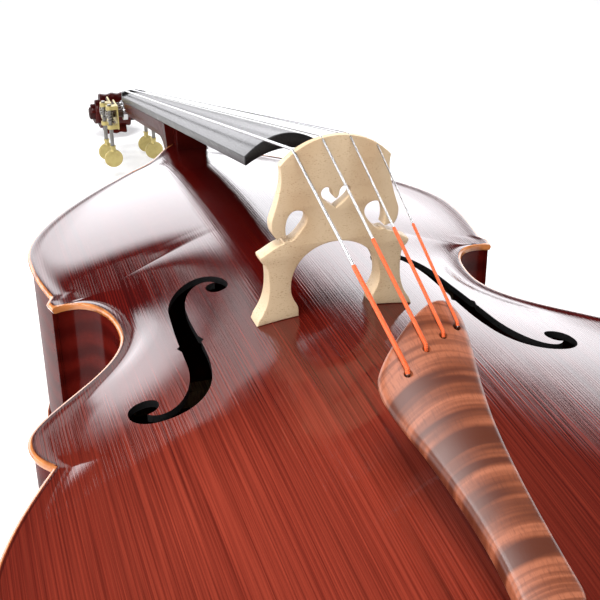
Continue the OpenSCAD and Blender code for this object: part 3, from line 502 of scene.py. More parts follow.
@dataclass(frozen=True)
class Ebony:
    """Oiled black ebony with faint pores."""

    name: str = "ebony"
    dark: Colour = (0.0045, 0.0045, 0.005)
    light: Colour = (0.016, 0.015, 0.015)

    def build(self) -> bpy.types.Material:
        """Makes the material."""
        n = Nodes(self.name)
        pores = n.noise(n.scaled(900, 14, 900), 1.0, 4, 0.65)
        n.colour(n.ramp(pores, [(0.3, self.dark), (0.72, self.light)]))
        n.roughness(n.window(pores, 0.3, 0.7, 0.24, 0.38))
        n.relief(pores, 0.08, 0.0003)
        n.set(Specular_IOR_Level=0.16)
        return n.material


@dataclass(frozen=True)
class BridgeMaple:
    """Bare pale maple with short brown flecks."""

    pale: Colour = (0.56, 0.425, 0.270)
    warm: Colour = (0.46, 0.310, 0.175)
    fleck: Colour = (0.28, 0.150, 0.065)

    def build(self) -> bpy.types.Material:
        """Makes the material."""
        n = Nodes("bridge_maple")
        rings = n.bands(n.scaled(1, 1, 1), 5.2, 3.0, 3, "X")
        cloud = n.noise(n.scaled(28, 28, 44), 1.0, 3, 0.55)
        base = n.blend(n.window(n.times(rings, cloud), 0.15, 0.6, 0, 0.75), self.pale, self.warm)
        short = n.noise(n.scaled(520, 520, 1500), 1.0, 2, 0.5, 0.4)
        patch = n.noise(n.scaled(70, 70, 120), 1.0, 2, 0.5)
        flecks = n.times(n.window(short, 0.585, 0.67), n.window(patch, 0.38, 0.6, 0.25, 1))
        n.colour(n.blend(n.times(flecks, 0.75), base, self.fleck))
        n.relief(short, 0.10, 0.0003)
        n.set(Roughness=0.52, Specular_IOR_Level=0.4)
        return n.material


@dataclass(frozen=True)
class FlamedMaple:
    """Light brown maple with dark cross flames and fine long grain."""

    dark: Colour = (0.075, 0.016, 0.006)
    middle: Colour = (0.17, 0.044, 0.017)
    light: Colour = (0.29, 0.088, 0.040)

    def build(self) -> bpy.types.Material:
        """Makes the material."""
        n = Nodes("flamed_maple")
        bent = n.bowed(5.0)
        broad = n.noise(n.stretched(bent, 5, 62, 5), 1.0, 2, 0.5)
        thin = n.noise(n.stretched(bent, 9, 210, 9), 1.0, 2, 0.5)
        long_grain = n.noise(n.scaled(700, 22, 300), 1.0, 4, 0.65)
        arcs = n.times(n.window(broad, 0.40, 0.54), n.window(thin, 0.36, 0.52, 0.45, 1))
        base = n.ramp(arcs, [(0.02, self.dark), (0.5, self.middle), (0.98, self.light)])
        n.colour(n.blend(n.window(long_grain, 0.48, 0.70, 0, 0.5), base, self.dark))
        n.relief(long_grain, 0.12, 0.0003)
        n.roughness(n.window(broad, 0.3, 0.7, 0.36, 0.46))
        n.set(Specular_IOR_Level=0.35, Coat_Weight=0.12, Coat_Roughness=0.3)
        return n.material


@dataclass(frozen=True)
class BareSpruce:
    """Unvarnished spruce inside the body."""

    pale: Colour = (0.50, 0.34, 0.19)
    line: Colour = (0.30, 0.17, 0.08)

    def build(self) -> bpy.types.Material:
        """Makes the material."""
        n = Nodes("bare_spruce")
        grain = n.noise(n.scaled(500, 6, 90), 1.0, 3, 0.6)
        n.colour(n.ramp(grain, [(0.35, self.line), (0.6, self.pale)]))
        n.relief(grain, 0.1, 0.0003)
        n.set(Roughness=0.75)
        return n.material


@dataclass(frozen=True)
class Metal:
    """A worked metal with fine brush marks and handling stains."""

    name: str
    base: Colour
    stain: Colour
    rough: float
    metallic: float = 1.0

    def build(self) -> bpy.types.Material:
        """Makes the material."""
        n = Nodes(self.name)
        marks = n.noise(n.scaled(300, 1800, 1800), 1.0, 3, 0.6)
        stains = n.noise(n.scaled(110, 110, 110), 1.0, 4, 0.6)
        n.colour(n.blend(n.window(stains, 0.42, 0.75, 0, 0.7), self.base, self.stain))
        n.roughness(n.window(marks, 0.3, 0.7, self.rough * 0.8, self.rough * 1.35))
        n.relief(marks, 0.05, 0.0001)
        n.set(Metallic=self.metallic)
        return n.material


@dataclass(frozen=True)
class WoundCord:
    """A finish with fine turns along a cord, such as silk thread or a string's flat winding, with painted shade in the
    grooves between the turns.
    """

    name: str
    base: Colour
    # Colour of the painted shade in the grooves between turns.
    gap: Colour
    pitch: float
    rough: float
    metallic: float
    relief: float

    def build(self) -> bpy.types.Material:
        """Makes the material."""
        n = Nodes(self.name)
        along = n.attribute("along")
        turns = n.times(n.times(along, math.tau / self.pitch), 0, "SINE")
        height = n.window(turns, -1, 1)
        tone = n.noise(n.scaled(220, 220, 220), 1.0, 3, 0.6)
        # Painted shade: the colour darkens towards gap in the low grooves between the turns.
        n.colour(n.blend(n.times(n.window(height, 0.0, 0.5, 1, 0), n.window(tone, 0.3, 0.7, 0.6, 1)),
                         self.base, self.gap))
        n.relief(height, self.relief, self.pitch * MM * 0.35)
        n.set(Roughness=self.rough, Metallic=self.metallic)
        return n.material


@dataclass(frozen=True)
class Rubber:
    """Matt black rubber."""

    base: Colour = (0.012, 0.012, 0.013)

    def build(self) -> bpy.types.Material:
        """Makes the material."""
        n = Nodes("tip_rubber")
        grit = n.noise(n.scaled(1200, 1200, 1200), 1.0, 3, 0.6)
        n.colour(n.blend(grit, self.base, (0.03, 0.03, 0.032)))
        n.relief(grit, 0.15, 0.0002)
        n.set(Roughness=0.7, Specular_IOR_Level=0.3)
        return n.material


FINISHES: dict[str, bpy.types.Material] = {}


def make_finishes() -> None:
    """Builds one material for each of the record's slots."""
    made = {
        "belly_varnish": SpruceVarnish(),
        "body_varnish": MapleVarnish("body_varnish"),
        "neck_varnish": MapleVarnish("neck_varnish", dark=(0.016, 0.0012, 0.0011), light=(0.060, 0.0045, 0.0030),
                                     gloss=0.22, flame="Y", coat=0.3),
        "bare_spruce": BareSpruce(),
        "ebony": Ebony(),
        "roller_wood": Ebony("roller_wood", dark=(0.012, 0.006, 0.004), light=(0.05, 0.022, 0.012)),
        "bridge_maple": BridgeMaple(),
        "flamed_maple": FlamedMaple(),
        "wire_steel": Metal("wire_steel", (0.62, 0.62, 0.63), (0.40, 0.39, 0.37), 0.30),
        "rod_steel": Metal("rod_steel", (0.66, 0.66, 0.67), (0.50, 0.49, 0.48), 0.18),
        "pale_brass": Metal("pale_brass", (0.44, 0.36, 0.14), (0.30, 0.235, 0.085), 0.38, 0.7),
        "dark_screws": Metal("dark_screws", (0.16, 0.14, 0.12), (0.07, 0.06, 0.05), 0.35),
        "worm_steel": Metal("worm_steel", (0.20, 0.19, 0.18), (0.07, 0.065, 0.06), 0.30),
        "string_steel": WoundCord("string_steel", (0.60, 0.60, 0.61), (0.22, 0.22, 0.22), 0.7, 0.26, 1.0, 0.25),
        "orange_silk": WoundCord("orange_silk", (0.72, 0.105, 0.012), (0.30, 0.020, 0.004), 0.9, 0.55, 0.0, 0.6),
        "tip_rubber": Rubber(),
    }
    FINISHES.update({slot: finish.build() for slot, finish in made.items()})


# ---- The body -------------------------------------------------------------------------------------


@dataclass
class Outline:
    """The plates' outline, its treble half from the neck to the lower edge, in millimetres."""

    body_stop: float = 618
    body_tail: float = 496
    upper_w: float = 513
    waist_w: float = 379
    lower_w: float = 676
    heel_hw: float = 24
    end_hw: float = 12
    fineness: int = 4
    points: list[Point2] = field(default_factory=list)
    spine: list[float] = field(default_factory=list)
    reach: list[float] = field(default_factory=list)
    even_reach: list[float] = field(default_factory=list)
    tips: list[int] = field(default_factory=list)

    def __post_init__(self) -> None:
        """Works out the points, the spine places that they face and the corners' tips."""
        stop, tail = self.body_stop, self.body_tail

        def up(x: float, y: float) -> Point2:
            return (x * self.upper_w / 2, y * stop)

        def mid(x: float, y: float) -> Point2:
            return (x * self.waist_w / 2, y * stop)

        def low(x: float, y: float) -> Point2:
            return (x * self.lower_w / 2, y * tail)

        def straight(a: Point2, b: Point2) -> list[Point2]:
            return [a, (mix(a[0], b[0], 0.3), mix(a[1], b[1], 0.3)), (mix(a[0], b[0], 0.7), mix(a[1], b[1], 0.7)), b]

        corner_up, corner_up_tip, corner_up_in = up(0.951, 0.286), up(0.971, 0.267), up(0.955, 0.243)
        waist, corner_low_in, corner_low = mid(1, 0.129), low(0.862, -0.169), low(0.817, -0.254)
        heel, end = (self.heel_hw, stop), (self.end_hw, -tail)
        rows = [
            ([heel, (52, stop - 28), (55, stop - 63), up(0.394, 0.845)], 6, 1, 0.915),
            ([up(0.394, 0.845), up(0.526, 0.793), up(1, 0.607), up(1, 0.453)], 12, 0.915, 0.5),
            ([up(1, 0.453), up(1, 0.38), up(0.975, 0.332), corner_up], 6, 0.5, 0.42),
            (straight(corner_up, corner_up_tip), 1, 0.42, 0.412),
            (straight(corner_up_tip, corner_up_in), 1, 0.412, 0.404),
            ([corner_up_in, up(0.838, 0.265), mid(1, 0.227), waist], 9, 0.404, 0.129),
            ([waist, mid(1, 0.016), low(0.852, -0.091), corner_low_in], 9, 0.129, -0.26),
            ([corner_low_in, low(0.867, -0.196), low(0.858, -0.226), corner_low], 3, -0.26, -0.32),
            ([corner_low, low(0.87, -0.319), low(1, -0.454), low(1, -0.605)], 8, -0.32, -0.62),
            ([low(1, -0.605), low(1, -0.847), low(0.636, -1), end], 14, -0.62, -1),
        ]
        for number, (curve, steps, start, stop_at) in enumerate(rows):
            fine = steps * self.fineness
            if number == 4 or number == 8:
                self.tips.append(len(self.points) - (self.fineness * 2 if number == 8 else 0))
            self.points += run(curve, fine)
            for i in range(fine):
                share = mix(start, stop_at, i / fine)
                self.spine.append(share * (stop if share > 0 else tail))
        self.points.append(end)
        self.spine.append(-tail)
        self.spine = self.evened(self.spine, 60)
        self.reach = [math.hypot(x, y - s) for (x, y), s in zip(self.points, self.spine)]
        self.even_reach = self.evened(self.reach, 500)

    @staticmethod
    def evened(values: Sequence[float], passes: int) -> list[float]:
        """The values averaged with their neighbours, as often as passes says, with their ends kept."""
        values = list(values)
        for _ in range(passes):
            inner = [(a + 2 * b + c) / 4 for a, b, c in zip(values, values[1:], values[2:])]
            values = [values[0], *inner, values[-1]]
        return values

    def inset(self, distance: float) -> list[Point2]:
        """The outline moved inwards, with mitred corners."""
        moved = []
        last = len(self.points) - 1
        for i, (x, y) in enumerate(self.points):
            normals = []
            for a, b in ((max(i - 1, 0), max(i, 1)), (min(i, last - 1), min(i + 1, last))):
                dx = self.points[b][0] - self.points[a][0]
                dy = self.points[b][1] - self.points[a][1]
                length = math.hypot(dx, dy)
                normals.append((dy / length, -dx / length))
            (ax, ay), (bx, by) = normals
            grow = distance / (1 + ax * bx + ay * by)
            moved.append((x + grow * (ax + bx), y + grow * (ay + by)))
        return moved


@dataclass
class Shell:
    """The belly, the back and the ribs."""

    outline: Outline = field(default_factory=Outline)
    back_t: float = 6
    rib_h: float = 199
    rib_t: float = 2.2
    belly_t: float = 7
    overhang: float = 4
    arch_h: float = 37
    cant_y: float = 435
    cant: float = math.radians(10.5)
    belly_steps: tuple[float, ...] = (0, 0.7, 1.7, 3.2, 5, 7.5, 10, 12.5, 15, 18, 22)
    belly_edge: tuple[float, ...] = (-3.0, -1.2, -0.35, 0, 0.1, 0, -0.15, -0.3, -0.35, -0.3, -0.15)
    under_steps: tuple[float, ...] = (14, 3.2, 1.3)
    inner_cols: int = 20
    under_cols: int = 16

    @property
    def rib_top(self) -> float:
        """Height of the ribs' front edge."""
        return self.back_t + self.rib_h

    @property
    def edge_z(self) -> float:
        """Height of the belly's edge."""
        return self.rib_top + self.belly_t

    def long_arch(self, y: float) -> float:
        """Height of the arch along the spine."""
        stop, tail = self.outline.body_stop, self.outline.body_tail
        s = (y - 60) / (stop - 88) if y > 60 else (60 - y) / (tail + 14)
        return self.arch_h * max(0.0, 1 - s**2.3)

    def arch(self, k: int, d: float) -> float:
        """Height of the arch over the edge.

        Args:
            k: The row, from an outline point to its place on the spine.
            d: The distance from the outline along that row, in millimetres.

        Returns:
            The height, which follows a smoothed outline so that the corners leave no crease.
        """
        even = self.outline.even_reach[k]
        rim = min(14.0, 0.4 * even)
        share = (d - self.outline.reach[k] + even - rim) / (even - rim)
        flat = smooth(min(1.0, max(0.0, (d - 8) / 24)))
        return self.long_arch(self.outline.spine[k]) * flat * smooth(min(1.0, max(0.0, share)) ** 0.7)

    def rise(self, x: float, y: float) -> float:
        """Height of the belly over its edge at a place near its middle."""
        spine = self.outline.spine
        k = next(i for i in range(1, len(spine)) if spine[i] <= y)
        t = (spine[k - 1] - y) / (spine[k - 1] - spine[k])
        ends = [self.arch(i, self.outline.reach[i] * (1 - abs(x) / self.outline.points[i][0])) for i in (k - 1, k)]
        return mix(ends[0], ends[1], t)

    def back_inside(self, y: float) -> float:
        """Height of the back's inner face, with its bend eased."""
        past = y - self.cant_y
        ease = 10.0
        ramp = 0.0 if past < -ease else (past if past > ease else (past + ease) ** 2 / (4 * ease))
        return self.back_t + ramp * math.tan(self.cant)

    def sheet(self, steps: Sequence[float], heights: Callable[[int, float, float], float],
              under: Sequence[float], low: Callable[[int, float, float], float]) -> bmesh.types.BMesh:
        """A plate whose rows run from the bass edge over the spine to the treble edge and back under it.

        Args:
            steps: Distances from the edge of the first columns, in millimetres.
            heights: Height of the upper face from its row, its distance and its place along Y.
            under: Distances from the edge of the lower face's columns.
            low: Height of the lower face from the same three numbers.

        Returns:
            The plate's mesh.
        """
        points, spine = self.outline.points, self.outline.spine
        cols = len(steps) + self.inner_cols
        upper = [(side, j) for side, order in ((-1, range(cols)), (1, range(cols, -1, -1))) for j in order]
        inside = [j / self.under_cols for j in range(1, self.under_cols + 1)]
        lower = [(1, d, 0) for d in under[::-1]] + [(1, under[0], t) for t in inside]
        lower += [(-1, under[0], t) for t in inside[-2::-1]] + [(-1, d, 0) for d in under]

        def place(i: int, k: int) -> Vector:
            px, py = points[k]
            sy = spine[k]
            w = self.outline.reach[k]
            scale = min(1.0, w / (steps[-1] * 2.5))
            if i < len(upper):
                side, j = upper[i]
                if j < len(steps):
                    d = steps[j] * scale
                else:
                    d = mix(steps[-1] * scale, w, (j - len(steps) + 1) / (self.inner_cols + 1))
                x, y = mix(px, 0, d / w), mix(py, sy, d / w)
                return Vector((side * x, y, heights(k, d, y)))
            side, d, share = lower[i - len(upper)]
            d = mix(d * scale, w, share)
            x, y = mix(px, 0, d / w), mix(py, sy, d / w)
            return Vector((side * x, y, low(k, d, y)))

        bm = wrapped_sheet(len(upper) + len(lower), len(points) - 1, place)
        return bm

    def mark_rim(self, bm: bmesh.types.BMesh) -> bmesh.types.BMesh:
        """Writes 100 less each point's distance from the plates' outline in millimetres as the value rim."""
        from mathutils.kdtree import KDTree

        tree = KDTree(2 * len(self.outline.points))
        for k, (x, y) in enumerate(self.outline.points):
            tree.insert((x * MM, y * MM, 0), 2 * k)
            tree.insert((-x * MM, y * MM, 0), 2 * k + 1)
        tree.balance()
        layer = bm.verts.layers.float.new("rim")
        for vert in bm.verts:
            vert[layer] = 100 - tree.find((vert.co.x, vert.co.y, 0))[2] / MM
        return bm

    def belly_height(self, k: int, d: float, y: float) -> float:
        """Height of the belly's outer face: a rounded edge, a shallow channel, then the arch."""
        last = self.belly_steps[-1]
        if d >= last:
            local = self.belly_edge[-1] * max(0.0, 1 - (d - last) / 14)
        else:
            i = next(i for i in range(1, len(self.belly_steps)) if self.belly_steps[i] >= d)
            a, b = self.belly_steps[i - 1], self.belly_steps[i]
            local = mix(self.belly_edge[i - 1], self.belly_edge[i], (d - a) / (b - a))
        return self.edge_z + local + self.arch(k, d)

    def belly_under(self, k: int, d: float, y: float) -> float:
        """Height of the belly's inner face, which follows the arch inside its flat rim."""
        return self.rib_top + 2.2 * max(0.0, 1 - d / 3.0) ** 2 + self.arch(k, d)

    def belly(self) -> None:
        """The arched belly with its two sound holes."""
        bm = self.sheet(self.belly_steps, self.belly_height, self.under_steps, self.belly_under)
        holes = [SoundHole().outline(), SoundHole().outline(-1)]
        for hole in holes:
            cutter = placed(plate([hole], 60, 0.01), Matrix.Identity(3), (0, 0, self.rib_top - 8))
            bm = carved(bm, cutter)
        self.mark_rim(bm)
        rim = bm.verts.layers.float["rim"]
        for face in bm.faces:
            if abs(face.normal.z) < 0.3 and all(v[rim] < 80 for v in face.verts):
                face.material_index = 1
        belly = piece("belly", bm, FINISHES["belly_varnish"], stands_for=["top_plate"])
        belly.data.materials.append(FINISHES["ebony"])

    def back_height(self, k: int, d: float, y: float) -> float:
        """Height of the back's outer face with its rounded edge."""
        return self.back_inside(y) - self.back_t + 2.4 * max(0.0, 1 - d / 3.2) ** 2

    def back(self) -> None:
        """The flat back with its button."""
        bm = self.sheet((0, 0.7, 1.7, 3.2, 12), self.back_height, (12, 3.2, 1.3),
                        lambda k, d, y: self.back_inside(y) - 2.0 * max(0.0, 1 - d / 3.0) ** 2)
        self.mark_rim(bm)
        piece("back", bm, FINISHES["body_varnish"], stands_for=["back_plate"])
        steps = 20
        arc = [(22.5 * math.cos(math.pi * i / steps), 22.5 * math.sin(math.pi * i / steps))
               for i in range(steps + 1)]
        button = plate([[(-22.5, -14), *reversed(arc), (22.5, -14)][::-1]], self.back_t - 0.2, 1.6)
        stop = self.outline.body_stop
        placed(button, Matrix.Rotation(self.cant, 3, "X"), (0, stop, self.back_inside(stop) - self.back_t + 0.1))
        self.mark_rim(button)
        piece("back_button", button, FINISHES["body_varnish"])

    def ribs(self) -> None:
        """Three bent ribs on each side."""
        outer = self.outline.inset(self.overhang)
        inner = self.outline.inset(self.overhang + self.rib_t)
        tips = [0, *self.outline.tips, len(outer) - 1]
        for part, (a, b) in zip(("upper", "waist", "lower"), zip(tips, tips[1:])):
            for side, name in ((-1, "bass"), (1, "treble")):
                outside, inside = list(outer[a:b + 1]), list(inner[a:b + 1])
                if part == "lower":
                    outside.append((0, outside[-1][1]))
                    inside.append((0, inside[-1][1]))

                def place(i: int, k: int) -> Vector:
                    line = outside if i in (0, 1, 2) else inside
                    x, y = line[k]
                    bottom = self.back_inside(y)
                    share = (0, 0.5, 1, 1, 0.5, 0)[i]
                    return Vector((side * x, y, mix(bottom, self.rib_top, share)))

                bm = wrapped_sheet(6, len(outside) - 1, place)
                piece(f"rib_{part}_{name}_skin", bm, FINISHES["body_varnish"],
                      stands_for=[f"rib_{part}_{name}"], sharp=math.radians(50))

    def build(self) -> None:
        """Makes the belly, the back and the ribs."""
        self.belly()
        self.back()
        self.ribs()


@dataclass
class SoundHole:
    """One long sound hole with its two round eyes and its nicks."""

    def outline(self, side: int = 1) -> list[Point2]:
        """The hole's outline on the treble side, or mirrored for side -1."""
        curves = [
            ([(141, 75), (138, 100), (121, 122), (103, 122)], 12),
            ([(103, 122), (89, 122), (77, 108), (77, 92)], 10),
            ([(77, 92), (77, 77), (98, 75), (99, 93)], 12),
            ([(99, 93), (99, 101), (93, 103), (88, 101)], 6),
            ([(88, 101), (96, 117), (122, 112), (126, 62)], 14),
            ([(126, 62), (127, 45), (127, 20), (126.5, 3)], 8),
            ([(123.5, 0), (124.5, -1), (125.5, -2), (126.5, -3)], 1),
            ([(126.5, -3), (127, -20), (126, -40), (132, -66)], 8),
            ([(132, -66), (138, -92), (156, -110), (181, -110)], 12),
            ([(181, -110), (199, -110), (210, -99), (209, -84)], 10),
            ([(209, -84), (208, -64), (180, -66), (182, -82)], 12),
            ([(182, -82), (183, -89), (188, -92), (194, -92)], 6),
            ([(194, -92), (180, -112), (151, -90), (147.5, -40)], 14),
            ([(147.5, -40), (147, -25), (146.5, -15), (146, -3)], 6),
            ([(149, 0), (148, 1), (147, 2), (146, 3)], 1),
            ([(146, 3), (145, 30), (143, 50), (141, 75)], 8),
        ]
        points = closed(curves)
        return points if side > 0 else flip(points)


# ---- Neck and head --------------------------------------------------------------------------------


def eased(rings: Sequence[Sequence[Vector]], per: int) -> list[list[Vector]]:
    """More rings between some rings, on smooth curves through them.

    Args:
        rings: The rings to pass through.
        per: How many steps each gap gets.

    Returns:
        The finer list of rings.
    """
    fine = []
    for k in range(len(rings) - 1):
        before, after = rings[max(k - 1, 0)], rings[min(k + 2, len(rings) - 1)]
        for step in range(per):
            t = step / per
            ring = []
            for p0, p1, p2, p3 in zip(before, rings[k], rings[k + 1], after):
                ring.append(0.5 * (2 * p1 + (p2 - p0) * t + (2 * p0 - 5 * p1 + 4 * p2 - p3) * t * t
                                   + (3 * p1 - p0 - 3 * p2 + p3) * t**3))
            fine.append(ring)
    return [*fine, list(rings[-1])]


def trough(y: float, top: float, bottom: float, hw: float, hwb: float, rx: float, rz: float,
           steps: int = 12) -> list[Vector]:
    """A section across the neck: flat front, sides that close in and a rounded back."""
    quarter = [(1 - math.cos(i * math.pi / 2 / steps), 1 - math.sin(i * math.pi / 2 / steps))
               for i in range(steps + 1)]
    left = [(-hwb + rx * c, bottom + rz * s) for c, s in quarter]
    right = [(hwb - rx * c, bottom + rz * s) for c, s in reversed(quarter)]
    return [Vector((x, y, z)) for x, z in [(-hw + 0.8, top), (-hw, top - 0.8), *left, *right,
                                           (hw, top - 0.8), (hw - 0.8, top)]]


@dataclass
class Neck:
    """The neck with its heel, the fingerboard and the nut."""

    shell: Shell = field(default_factory=Shell)
    stop: float = 1061
    gap: float = 136
    end_hw: float = 43.5
    nut_hw: float = 21
    edge: float = 10
    crown: float = 20
    rise: float = 132
    slope: float = 0.2076
    depth: float = 32
    heel_t: float = 24

    def z(self, y: float) -> float:
        """Height of the board's underside."""
        return self.shell.edge_z + self.rise - self.slope * (y - self.gap)

    def half(self, y: float) -> float:
        """Half width of the board."""
        return mix(self.end_hw, self.nut_hw, (y - self.gap) / (self.stop - self.gap))

    def back(self, y: float) -> float:
        """Height of the neck's back."""
        body = self.shell.outline.body_stop
        return self.z(y) - mix(self.depth + 6, self.depth, (y - body) / (self.stop - body))

    def nut_crown(self, x: float) -> float:
        """Height of the nut's top."""
        return self.z(self.stop) + self.edge + 9 - 3 * (x / self.nut_hw) ** 2

    def build_neck(self) -> None:
        """The neck, its heel and the tenon in the body."""
        body = self.shell.outline.body_stop
        rows = [(0, 1, 17), (12, 1, 16.5), (20, 1, 16), (24, 0.93, 16.5), (27, 0.72, 18), (32, 0.48, 19.5),
                (41, 0.26, 21.5), (56, 0.1, 24), (79, 0.02, 26)]
        rings = []
        for past, share, hw in rows:
            y = body + past
            low = mix(self.back(y), self.shell.back_inside(y), share)
            hwb = min(self.half(y), hw)
            rings.append(trough(y, self.z(y), low, self.half(y), hwb + 3 * (1 - share), hwb * 0.9,
                                mix(34, 10, share)))
        graft = self.stop - 16
        for y in (body + 114, (body + graft) / 2, graft):
            hw = self.half(y)
            rings.append(trough(y, self.z(y), self.back(y), hw, hw, hw * 0.98, (self.z(y) - self.back(y)) * 0.8))
        tenon = loft([[Vector((x, y, z)) for y, z in (
            (592, self.shell.back_inside(592)), (618, self.shell.back_inside(618)),
            (618, self.z(618)), (592, self.z(592)))] for x in (-19, 19)])
        piece("neck_and_heel", joined([loft(eased(rings, 4)), tenon]), FINISHES["neck_varnish"],
              stands_for=["neck"])

    def build_board(self) -> None:
        """The scooped fingerboard."""
        steps, ease = 32, 1.2
        rings = []
        hollow_end = self.shell.outline.body_stop - 20
        for number, y in enumerate((136, 136.4, 137.2, 139, 240, 340, 440, 540, 598, 618, 760, 900, 1060, 1061)):
            hw, z = self.half(y), self.z(y)
            shrink = (1.0, 0.45, 0.12, 0.0)[number] if number < 4 else 0.0
            hollow = mix(14, 7, (y - self.gap) / (hollow_end - self.gap)) if y < hollow_end + 1 else 0
            top = mix(self.crown, 6, (y - self.gap) / (self.stop - self.gap))
            upper = []
            for i in range(steps + 1):
                x = math.cos(math.pi * i / steps)
                upper.append(Vector(((hw - shrink) * x, y, z + self.edge + top * (1 - x * x) - shrink)))
            ends = [Vector(((hw - shrink) * s, y, z + self.edge - ease - shrink)) for s in (1, -1)]
            under = []
            for i in range(13):
                x = i / 6 - 1
                under.append(Vector(((hw - ease) * x, y, z + hollow * (1 - x * x) + shrink)))
            low = [Vector(((hw - shrink) * s, y, z + ease)) for s in (-1, 1)]
            rings.append([*upper, ends[1], low[0], *under, low[1], ends[0]])
        piece("board", loft(rings), FINISHES["ebony"], stands_for=["fingerboard"],
              sharp=math.radians(50))

    def build_nut(self) -> None:
        """The nut with eased edges."""
        n = 16
        top = [(mix(self.nut_hw, -self.nut_hw, i / n), self.nut_crown(mix(self.nut_hw, -self.nut_hw, i / n)))
               for i in range(n + 1)]
        foot = self.z(self.stop + 8)
        bm = plate([[*top, (-self.nut_hw, foot), (self.nut_hw, foot)]], 8, 1.0)
        for vert in bm.verts:
            x, z, y = vert.co
            vert.co = (x, (self.stop + 8) * MM - y, z)
        bmesh.ops.recalc_face_normals(bm, faces=bm.faces)
        piece("nut_block", bm, FINISHES["ebony"], stands_for=["nut"])

    def build(self) -> None:
        """Makes the neck, the fingerboard and the nut."""
        self.build_neck()
        self.build_board()
        self.build_nut()


class Side(Enum):
    """The pegbox's two sides."""

    BASS = -1
    TREBLE = 1


@dataclass(frozen=True)
class Machine:
    """One tuning machine's place."""

    name: str
    side: Side
    number: int
    string: int

    @property
    def y(self) -> float:
        """The roller's place along the pegbox."""
        return 1108 + 40 * self.number

    @property
    def z(self) -> float:
        """The roller's height."""
        return 118 - 8 * self.number


MACHINES = (Machine("e", Side.BASS, 0, 0), Machine("a", Side.BASS, 2, 1), Machine("d", Side.TREBLE, 3, 2),
            Machine("g", Side.TREBLE, 1, 3))


@dataclass
class Head:
    """The pegbox and its scroll."""

    neck: Neck = field(default_factory=Neck)
    hw: float = 28
    cheek: float = 10
    centre: Point2 = (1338, 54)
    outer_r: float = 46

    def top(self, y: float) -> float:
        """Height of the pegbox's open side."""
        if y < 1069:
            return self.neck.z(y)
        return self.neck.z(1069) - 0.2 * (y - 1069) - 0.45 * max(0.0, y - 1251)

    def back(self, y: float) -> float:
        """Height of the pegbox's back."""
        return 52 - 0.15 * (y - 1077)

    def pegbox(self) -> bmesh.types.BMesh:
        """The pegbox's shell with its trough and the rollers' bores."""
        graft = self.neck.stop - 16
        start_rz = (self.neck.z(graft) - self.neck.back(graft)) * 0.8
        rings = []
        for past, share, hw, rx in ((-16, 0, 0, 20), (-9, 0.1, 22, 20), (-3, 0.3, 24, 20), (3, 0.58, 26, 20),
                                    (8, 0.8, 28, 19), (16, 0.96, 28, 16), (26, 1, 28, 12)):
            y = self.neck.stop + past
            wide = hw or self.neck.half(y)
            rings.append(trough(y, self.top(y), mix(self.neck.back(y), self.back(y), share), wide, wide,
                                rx if hw else wide * 0.98, mix(start_rz, 12, min(1, share * 1.4))))
        for past, share, radius in ((190, 1, 8), (215, 0.9, 7), (245, 0.82, 7)):
            y = self.neck.stop + past
            rings.append(trough(y, self.top(y), self.back(y), self.hw * share, self.hw * share, radius, radius))
        box = loft(eased(rings, 3))
        inner = self.hw - self.cheek
        profile = [(1075, self.top(1075) + 20), (1075, self.back(1075) + 28), (1087, self.back(1075) + 14),
                   (1233, self.back(1267) + 14), (1267, self.top(1267) - 12), (1267, self.top(1267) + 20)]
        cutter = loft([[Vector((x, y, z)) for y, z in profile] for x in (-inner, inner)])
        box = carved(box, cutter)
        bores = []
        for m in MACHINES:
            turn = Matrix.Rotation(math.pi / 2 * m.side.value, 3, "Y")
            for r, a, b in ((7.05, 0, 33), (5.05, -26.4, 0)):
                bores.append(placed(turned([(0, a), (r, a), (r, b), (0, b)], 32), turn, (0, m.y, m.z)))
        for bore in bores:
            box = carved(box, bore)
        return box

    def volute(self) -> bmesh.types.BMesh:
        """The scroll: one band that winds inwards and widens towards its eyes."""
        cy, cz = self.centre
        steps = 168
        rings = []
        for k in range(steps + 1):
            a = 1000 * k / steps
            r = self.outer_r * 0.70 ** (a / 360)
            w = 22 + 9.5 * a / 360
            hub = 3 + a / 1000 * 7
            angle = math.radians(a - 115)
            section = [(hub, -w)]
            section += [(r - 3 + 3 * math.sin(t), -w + 3 - 3 * math.cos(t))
                        for t in (0, 0.4, 0.8, 1.2, math.pi / 2)]
            inner_w = w - 3
            section += [(r - 2.6 * math.sin(math.pi * abs(u)) ** 2, inner_w * u)
                        for u in (-0.85, -0.7, -0.5, -0.3, -0.15, 0, 0.15, 0.3, 0.5, 0.7, 0.85)]
            section += [(r - 3 + 3 * math.sin(t), w - 3 + 3 * math.cos(t))
                        for t in (math.pi / 2, 1.2, 0.8, 0.4, 0)]
            section.append((hub, w))
            rings.append([Vector((x, cy + q * math.cos(angle), cz + q * math.sin(angle))) for q, x in section])
        return loft(rings)

    def build(self) -> None:
        """Makes the pegbox, the volute and the eyes as one carved piece."""
        eye = turned([(0, -50), (9, -50), (12, -48.5), (13, -46), (13, 46), (12, 48.5), (9, 50), (0, 50)])
        placed(eye, Matrix.Rotation(math.pi / 2, 3, "Y"), (0, *self.centre))
        piece("head", joined([self.pegbox(), self.volute(), eye]), FINISHES["neck_varnish"],
              stands_for=["pegbox_scroll"])


# ---- Fittings -------------------------------------------------------------------------------------


def bz(x: float, z: float) -> Point2:
    """A place on the bridge's face from its height over the belly's edge."""
    return (x, 212 + z)


